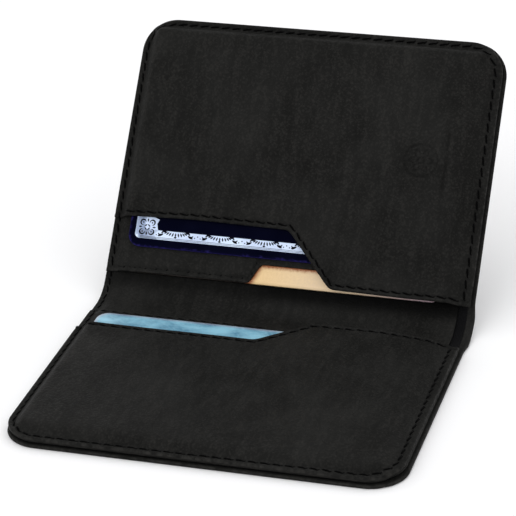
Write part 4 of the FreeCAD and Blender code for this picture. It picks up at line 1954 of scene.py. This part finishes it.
    def build_front(self) -> None:
        """The front pocket, with a finer net where the mark is pressed."""
        mark, spare = self.mark, 1.2
        reach = mark.ring + spare
        sheet = Sheet(
            self.stack, self.front_low, self.front_top, mouth=FRONT_MOUTH, rounding=0.36, step=0.9,
            shade=self.front_shade,
            fine_x=((-3.0, 15.0, 0.4), (mark.x - reach, mark.x + mark.bar_offset + spare, 0.2)),
            fine_s=((mark.s - mark.bar_half - spare, mark.s - reach, 0.5),
                    (mark.s - reach, mark.s + reach, 0.2),
                    (mark.s + reach, mark.s + mark.bar_half + spare, 0.5)),
            fine_at=mark.x,
        )
        piece = sheet.build("front_pocket_leather", self.finishes.leather)
        self.finish(piece, Slot.LEATHER, ["front_pocket"])

    def top(self, x: Array, s: Array) -> Array:
        """The uppermost leather at each place."""
        middle = np.where(s > MIDDLE_MOUTH.at(x), self.middle_top(x, s), self.inner_top(x, s))
        return np.where(s > FRONT_MOUTH.at(x), self.front_top(x, s), middle)

    def build_stitches(self) -> None:
        """The seams round the panel, along both mouths and across the middle pocket."""
        self.sew_edge(FRONT_MOUTH, self.top)
        path = mouth_path(FRONT_MOUTH, self.mouth_seam, *self.mouth_seam_span)
        self.sew("front_mouth_stitches", "front_mouth_stitching", path, self.front_top, slant=-14.0)
        path = mouth_path(MIDDLE_MOUTH, self.mouth_seam, -47.0, -8.3)
        self.sew(
            "middle_mouth_stitches", "middle_mouth_stitching", path, self.middle_top,
            slant=-12.0, lift=-0.22,
        )
        path = np.array([[-42.0, self.stop_seam], [42.0, self.stop_seam]])
        self.sew(
            "stop_seam_stitches", "middle_pocket_stop_seam", path, self.middle_top,
            lift=-0.1, slant=0.0, slit=0.3,
        )


# ---- cards

@dataclass
class Card:
    """A standard plastic card lying in a pocket."""

    node: str
    side: Side
    slot: Slot
    material: bpy.types.Material
    thick: float = 0.76
    corner: float = 3.18
    bevel: float = 0.09

    def seat(self) -> tuple[float, float, float, float, float]:
        """Where the card lies, from its CAD box.

        Returns:
            Its left and right x, its distance from the fold, its height and its length.
        """
        low, high = (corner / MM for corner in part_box(self.node))
        if self.side is Side.NEAR:
            return low.x, high.x, SECTION.fold - high.y, low.z, high.y - low.y
        turn = SECTION.angle
        run = low.y - SECTION.fold + self.thick * math.sin(turn)
        rise = low.z - SECTION.radius
        reach = run * math.sin(turn) - rise * math.cos(turn)
        start = run * math.cos(turn) + rise * math.sin(turn)
        length = (high.z - low.z - self.thick * math.cos(turn)) / math.sin(turn)
        return low.x, high.x, start, SECTION.radius - reach, length

    def ring(self, inset: float) -> Array:
        """The card's outline, a distance inside its edge, as (x, s) rows.

        Args:
            inset: The distance.

        Returns:
            The rows.
        """
        left, right, start, _, length = self.seat()
        radius = self.corner - inset
        turn = np.linspace(0.0, math.pi / 2, 10)
        corners = (
            (right - self.corner, start + length - self.corner, 0.0),
            (left + self.corner, start + length - self.corner, math.pi / 2),
            (left + self.corner, start + self.corner, math.pi),
            (right - self.corner, start + self.corner, 1.5 * math.pi),
        )
        arcs = [
            np.stack([x + radius * np.cos(turn + first), s + radius * np.sin(turn + first)], axis=1)
            for x, s, first in corners
        ]
        return np.concatenate(arcs)

    def build(self) -> None:
        """Make the card with softened edges."""
        base = self.seat()[3]
        face_inset, half_rubbed = 1.2, 0.6
        levels = (
            (face_inset, 0.0, 0.0), (self.bevel, 0.0, half_rubbed), (0.0, self.bevel, 1.0),
            (0.0, self.thick - self.bevel, 1.0), (self.bevel, self.thick, half_rubbed),
            (face_inset, self.thick, 0.0),
        )
        rings, hides, edges = [], [], []
        for inset, level, edge in levels:
            flat = self.ring(inset)
            rings.append(SECTION.place(self.side, flat[:, 0], flat[:, 1], base + level))
            hides.append(np.column_stack([flat, np.full(len(flat), level)]))
            edges.append(np.full(len(flat), edge))
        count = len(rings[0])
        net = np.arange(len(rings) * count).reshape(len(rings), count)
        faces = _quads(np.concatenate([net, net[:, :1]], axis=1), False)
        faces += [tuple(net[0].tolist()[::-1]), tuple(net[-1].tolist())]
        if self.side is Side.NEAR:
            faces = [face[::-1] for face in faces]
        parts = MeshParts()
        parts.add(
            np.concatenate(rings), faces, hide=np.concatenate(hides), edge=np.concatenate(edges)
        )
        piece = parts.build(f"{self.node}_plastic", self.material, sharp=70.0)
        self.attach(piece)

    def attach(self, piece: bpy.types.Object) -> None:
        """Put a piece on the card's body.

        Args:
            piece: The piece.
        """
        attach(piece, f"{self.node}_body")
        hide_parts(self.node)
        LOG.info("%s: %d faces", piece.name, len(piece.data.polygons))


@dataclass
class Print:
    """Thin raised ink on a card's face, drawn as flat closed shapes."""

    card: Card
    layer: int = 1
    film: float = 0.016
    sunk: float = 0.01
    parts: MeshParts = field(default_factory=MeshParts)

    def shape(self, outline: Array) -> None:
        """Add one flat shape.

        Args:
            outline: Its corners (x, s), round it one way.
        """
        turned = outline if _area(outline) > 0 else outline[::-1]
        base = self.card.seat()[3] + self.card.thick
        low, high = base - self.sunk, base + self.film * self.layer
        count = len(turned)
        under = SECTION.place(self.card.side, turned[:, 0], turned[:, 1], low)
        over = SECTION.place(self.card.side, turned[:, 0], turned[:, 1], high)
        walls = [(a, (a + 1) % count, count + (a + 1) % count, count + a) for a in range(count)]
        faces = [tuple(range(count))[::-1], tuple(range(count, 2 * count)), *walls]
        if self.card.side is Side.NEAR:
            faces = [face[::-1] for face in faces]
        flat = np.concatenate([turned, turned])
        self.parts.add(
            np.concatenate([under, over]), faces,
            hide=np.column_stack([flat, np.zeros(2 * count)]), edge=np.zeros(2 * count),
        )

    def box(self, x: float, s: float, wide: float, long: float) -> None:
        """Add a rectangle about a centre."""
        corners = np.array([[-wide, -long], [wide, -long], [wide, long], [-wide, long]]) / 2
        self.shape(corners + (x, s))

    def leaf(self, x: float, s: float, wide: float, long: float, turn: float = 0.0) -> None:
        """Add a pointed leaf about a centre, turned by some degrees.

        Args:
            x: The centre's x.
            s: Its distance from the fold.
            wide: Its width.
            long: Its length.
            turn: The degrees.
        """
        along = np.linspace(-1.0, 1.0, 7)
        side = (1.0 - along**2) * wide / 2
        edge = np.column_stack([side, along * long / 2])
        self.shape(_turned(np.concatenate([edge, edge[-2:0:-1] * (-1, 1)]), turn) + (x, s))

    def bow(self, x: float, s: float, radius: float, first: float, last: float,
            wide: float) -> None:
        """Add a curved stroke that thins towards its ends, between two angles in degrees.

        Args:
            x: The centre's x.
            s: Its distance from the fold.
            radius: The curve's radius.
            first: Its first angle.
            last: Its last angle.
            wide: Its width in the middle.
        """
        turn = np.radians(np.linspace(first, last, 11))
        half = wide / 2 * np.sin(np.linspace(0.25, math.pi - 0.25, 11))
        out = np.column_stack([np.cos(turn), np.sin(turn)])
        outer, inner = out * (radius + half)[:, None], out * (radius - half)[:, None]
        self.shape(np.concatenate([outer, inner[::-1]]) + (x, s))

    def dot(self, x: float, s: float, radius: float) -> None:
        """Add a round dot."""
        turn = np.linspace(0.0, 2 * math.pi, 9)[:-1]
        self.shape(np.column_stack([np.cos(turn), np.sin(turn)]) * radius + (x, s))

    def build(self, name: str, material: bpy.types.Material) -> None:
        """Make the ink's piece."""
        self.card.attach(self.parts.build(name, material, sharp=30.0))


def _area(outline: Array) -> float:
    """Signed area of a flat shape."""
    x, s = outline[:, 0], outline[:, 1]
    return 0.5 * float(np.sum(x * np.roll(s, -1) - s * np.roll(x, -1)))


def _turned(points: Array, degrees: float) -> Array:
    """Turn flat points about zero.

    Args:
        points: The points (x, s).
        degrees: How far.

    Returns:
        The turned points.
    """
    turn = math.radians(degrees)
    way = np.array([[math.cos(turn), math.sin(turn)], [-math.sin(turn), math.cos(turn)]])
    return points @ way


@dataclass
class NavyOrnament:
    """The navy card's border: a pale band with ray fans, leaves and scrolled corners."""

    card: Card
    finishes: Finishes
    side_inset: float = 1.7
    edge_inset: float = 2.2
    band: float = 2.5
    block_wide: float = 6.2
    block_long: float = 6.0
    period: float = 12.2
    rays: int = 13

    def build(self) -> None:
        """Make the pale band and the dark drawing on it."""
        left, right, start, _, length = self.card.seat()
        left, right = left + self.side_inset, right - self.side_inset
        low, high = start + self.edge_inset, start + length - self.edge_inset
        middle_x, middle_s = (left + right) / 2, (low + high) / 2
        pale, dark = Print(self.card), Print(self.card, layer=2)
        for s in (low + self.band / 2, high - self.band / 2):
            pale.box(middle_x, s, right - left - 2, self.band)
        for x in (left + self.band / 2, right - self.band / 2):
            pale.box(x, middle_s, self.band, high - low - 2)
        for x, way_x in ((left, 1.0), (right, -1.0)):
            for s, way_s in ((low, 1.0), (high, -1.0)):
                self._corner(pale, dark, (x, s), (way_x, way_s))
        for s, way in ((low, 1.0), (high, -1.0)):
            self._rules(dark, middle_x, s, right - left - 3.0, way)
            self._fans(dark, left + self.block_wide, right - self.block_wide, s, way)
        pale.build("navy_card_band", self.finishes.pale_ink)
        dark.build("navy_card_drawing", self.finishes.dark_ink)

    def _rules(self, dark: Print, x: float, s: float, wide: float, way: float) -> None:
        """Two fine lines along the band's outer side."""
        for inset in (0.24, 0.56):
            dark.box(x, s + way * inset, wide, 0.1)

    def _corner(self, pale: Print, dark: Print, spot: tuple[float, float],
                way: tuple[float, float]) -> None:
        """One corner block: a rounded pale square with four scrolls and leaves.

        Args:
            pale: The pale band.
            dark: The dark drawing.
            spot: The corner (x, s).
            way: Which way is inward on x and s.
        """
        wide, long, radius = self.block_wide, self.block_long, 1.3
        turn = np.linspace(math.pi, 1.5 * math.pi, 7)
        arc = np.column_stack([radius + radius * np.cos(turn), radius + radius * np.sin(turn)])
        notched = [
            [wide, 0.0], [wide - 1.0, 1.2], [wide, 2.4], [wide - 0.5, 4.2], [wide, long - 0.6],
            [wide - 1.6, long], [0.6, long], [0.0, long - 1.0],
        ]
        pale.shape(np.concatenate([arc, notched]) * way + spot)
        centre = np.array([wide * 0.5, long * 0.52])
        for number in range(4):
            angle = 45.0 + 90.0 * number
            out = np.array([math.cos(math.radians(angle)), math.sin(math.radians(angle))])
            at = (centre + out * 1.75) * way + spot
            dark.bow(at[0], at[1], 0.72, angle - 130, angle + 140, 0.42)
            dark.dot(at[0], at[1], 0.2)
            tip = (centre + out * 0.62) * way + spot
            dark.leaf(tip[0], tip[1], 0.34, 1.0, 90.0 - angle * way[0] * way[1])
        for out_x, out_s in ((1.9, 0.0), (-1.9, 0.0), (0.0, 1.9), (0.0, -1.75)):
            at = (centre + (out_x, out_s)) * way + spot
            dark.leaf(at[0], at[1], 0.4, 0.95, 90.0 if out_x else 0.0)

    def _fans(self, dark: Print, left: float, right: float, s: float, way: float) -> None:
        """Ray fans along the band, with leaves and dots between them.

        Args:
            dark: The dark drawing.
            left: Where they start.
            right: Where they end.
            s: The band's outer side.
            way: Which way is inward on s.
        """
        count = int((right - left) // self.period)
        first = left + 5.0
        for number in range(count):
            x = first + number * self.period
            centre_s = s + way * 2.75
            for ray in range(self.rays):
                angle = math.radians(180.0 + 180.0 * (ray + 0.5) / self.rays)
                out_x, out_s = math.cos(angle) * 3.3, math.sin(angle) * 1.1
                turn = math.degrees(math.atan2(out_x * 0.35, -out_s)) * way
                dark.leaf(x + out_x, centre_s + way * (out_s - 0.05), 0.4, 1.15, turn)
            dark.leaf(x, s + way * 0.96, 0.75, 0.5)
            for mirror in (-1.0, 1.0):
                dark.bow(x + mirror * 4.2, s + way * 1.95, 0.62, 190.0, 350.0, 0.5)
                dark.leaf(x + mirror * 4.15, s + way * 1.3, 0.62, 1.7, mirror * way * 66.0)
                dark.leaf(x + mirror * 3.7, s + way * 2.15, 0.42, 0.9, mirror * way * 40.0)
                dark.dot(x + mirror * 5.3, s + way * 1.25, 0.16)
            dark.dot(x + self.period / 2, s + way * 1.7, 0.17)


# ---- studio

@dataclass
class Studio:
    """A plain pale floor, soft light and the camera."""

    azimuth: float = 16.845
    elevation: float = 26.258
    roll: float = -1.909
    distance: float = 674.02
    across: float = -4.96
    up: float = 18.28
    lens: float = 181.14
    sensor: float = 36.0
    floor_half: float = 3000.0
    top_light: float = 1.3
    top_spot: tuple[float, float, float] = (60, 420, 900)
    top_size: float = 900.0
    fill_light: float = 2.4
    fill_spot: tuple[float, float, float] = (-300, -900, 700)
    fill_size: float = 700.0
    aim_height: float = 20.0
    sky: float = 1.0

    def build(self) -> None:
        """Make the floor, the lights and the camera."""
        self.add_floor()
        self.add_sky()
        self.add_light("soft_top", self.top_spot, self.top_size, self.top_light)
        self.add_light("soft_front", self.fill_spot, self.fill_size, self.fill_light)
        self.add_camera()
        bpy.context.scene.view_settings.view_transform = "Standard"
        LOG.info("studio: floor, sky, two lights and the camera")

    def add_floor(self) -> None:
        """A matt floor under the holder."""
        half = self.floor_half * MM
        mesh = bpy.data.meshes.new("floor")
        corners = [(-half, -half, 0), (half, -half, 0), (half, half, 0), (-half, half, 0)]
        mesh.from_pydata(corners, [], [(0, 1, 2, 3)])
        floor = bpy.data.objects.new("floor", mesh)
        bpy.context.scene.collection.objects.link(floor)
        material = bpy.data.materials.new("pale_floor")
        material.use_nodes = True
        shader = material.node_tree.nodes["Principled BSDF"]
        shader.inputs["Base Color"].default_value = (0.9, 0.9, 0.91, 1.0)
        shader.inputs["Roughness"].default_value = 0.9
        shader.inputs["Specular IOR Level"].default_value = 0.1
        mesh.materials.append(material)

    def add_sky(self) -> None:
        """An even white sky."""
        world = bpy.data.worlds.new("soft_sky")
        world.use_nodes = True
        backdrop = world.node_tree.nodes["Background"]
        backdrop.inputs["Color"].default_value = (1.0, 1.0, 1.0, 1.0)
        backdrop.inputs["Strength"].default_value = self.sky
        bpy.context.scene.world = world

    def add_light(self, name: str, spot: Sequence[float], size: float, power: float) -> None:
        """A square soft light that looks at the holder.

        Args:
            name: Its name.
            spot: Where it stands.
            size: The length of its side.
            power: Its power in watts.
        """
        lamp = bpy.data.lights.new(name, "AREA")
        lamp.size = size * MM
        lamp.energy = power
        light = bpy.data.objects.new(name, lamp)
        light.location = Vector(spot) * MM
        target = Vector((0, SECTION.fold, self.aim_height)) * MM
        light.rotation_mode = "QUATERNION"
        light.rotation_quaternion = (target - light.location).to_track_quat("-Z", "Y")
        bpy.context.scene.collection.objects.link(light)

    def add_camera(self) -> None:
        """The camera, set by its angles about the near fold line."""
        azimuth, elevation = math.radians(self.azimuth), math.radians(self.elevation)
        back = Vector((
            math.sin(azimuth) * math.cos(elevation),
            -math.cos(azimuth) * math.cos(elevation),
            math.sin(elevation),
        ))
        right = Vector((0, 0, 1)).cross(back).normalized()
        above = back.cross(right)
        turn = math.radians(self.roll)
        rolled_right = right * math.cos(turn) + above * math.sin(turn)
        rolled_up = above * math.cos(turn) - right * math.sin(turn)
        data = bpy.data.cameras.new("camera")
        data.lens, data.sensor_width = self.lens, self.sensor
        data.clip_start, data.clip_end = 0.01, 20.0
        camera = bpy.data.objects.new("camera", data)
        spot = rolled_right * self.across + rolled_up * self.up + back * self.distance
        axes = Matrix((rolled_right, rolled_up, back)).transposed().to_4x4()
        fold_line = Vector((0, SECTION.fold, 0))
        camera.matrix_world = Matrix.Translation((spot + fold_line) * MM) @ axes
        bpy.context.scene.collection.objects.link(camera)
        bpy.context.scene.camera = camera


# ---- main

def main() -> None:
    """Build the holder, its cards and the studio."""
    logging.basicConfig(level=logging.INFO, format="%(name)s %(message)s")
    finishes = Finishes()
    NearPanel(finishes).build()
    FarPanel(finishes).build()
    blue = Card("blue_card", Side.NEAR, Slot.BLUE, finishes.blue)
    gold = Card("gold_card", Side.FAR, Slot.GOLD, finishes.gold)
    navy = Card("navy_card", Side.FAR, Slot.NAVY, finishes.navy)
    for card in (blue, gold, navy):
        card.build()
    NavyOrnament(navy, finishes).build()
    Studio().build()
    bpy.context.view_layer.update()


if __name__ == "__main__":
    main()
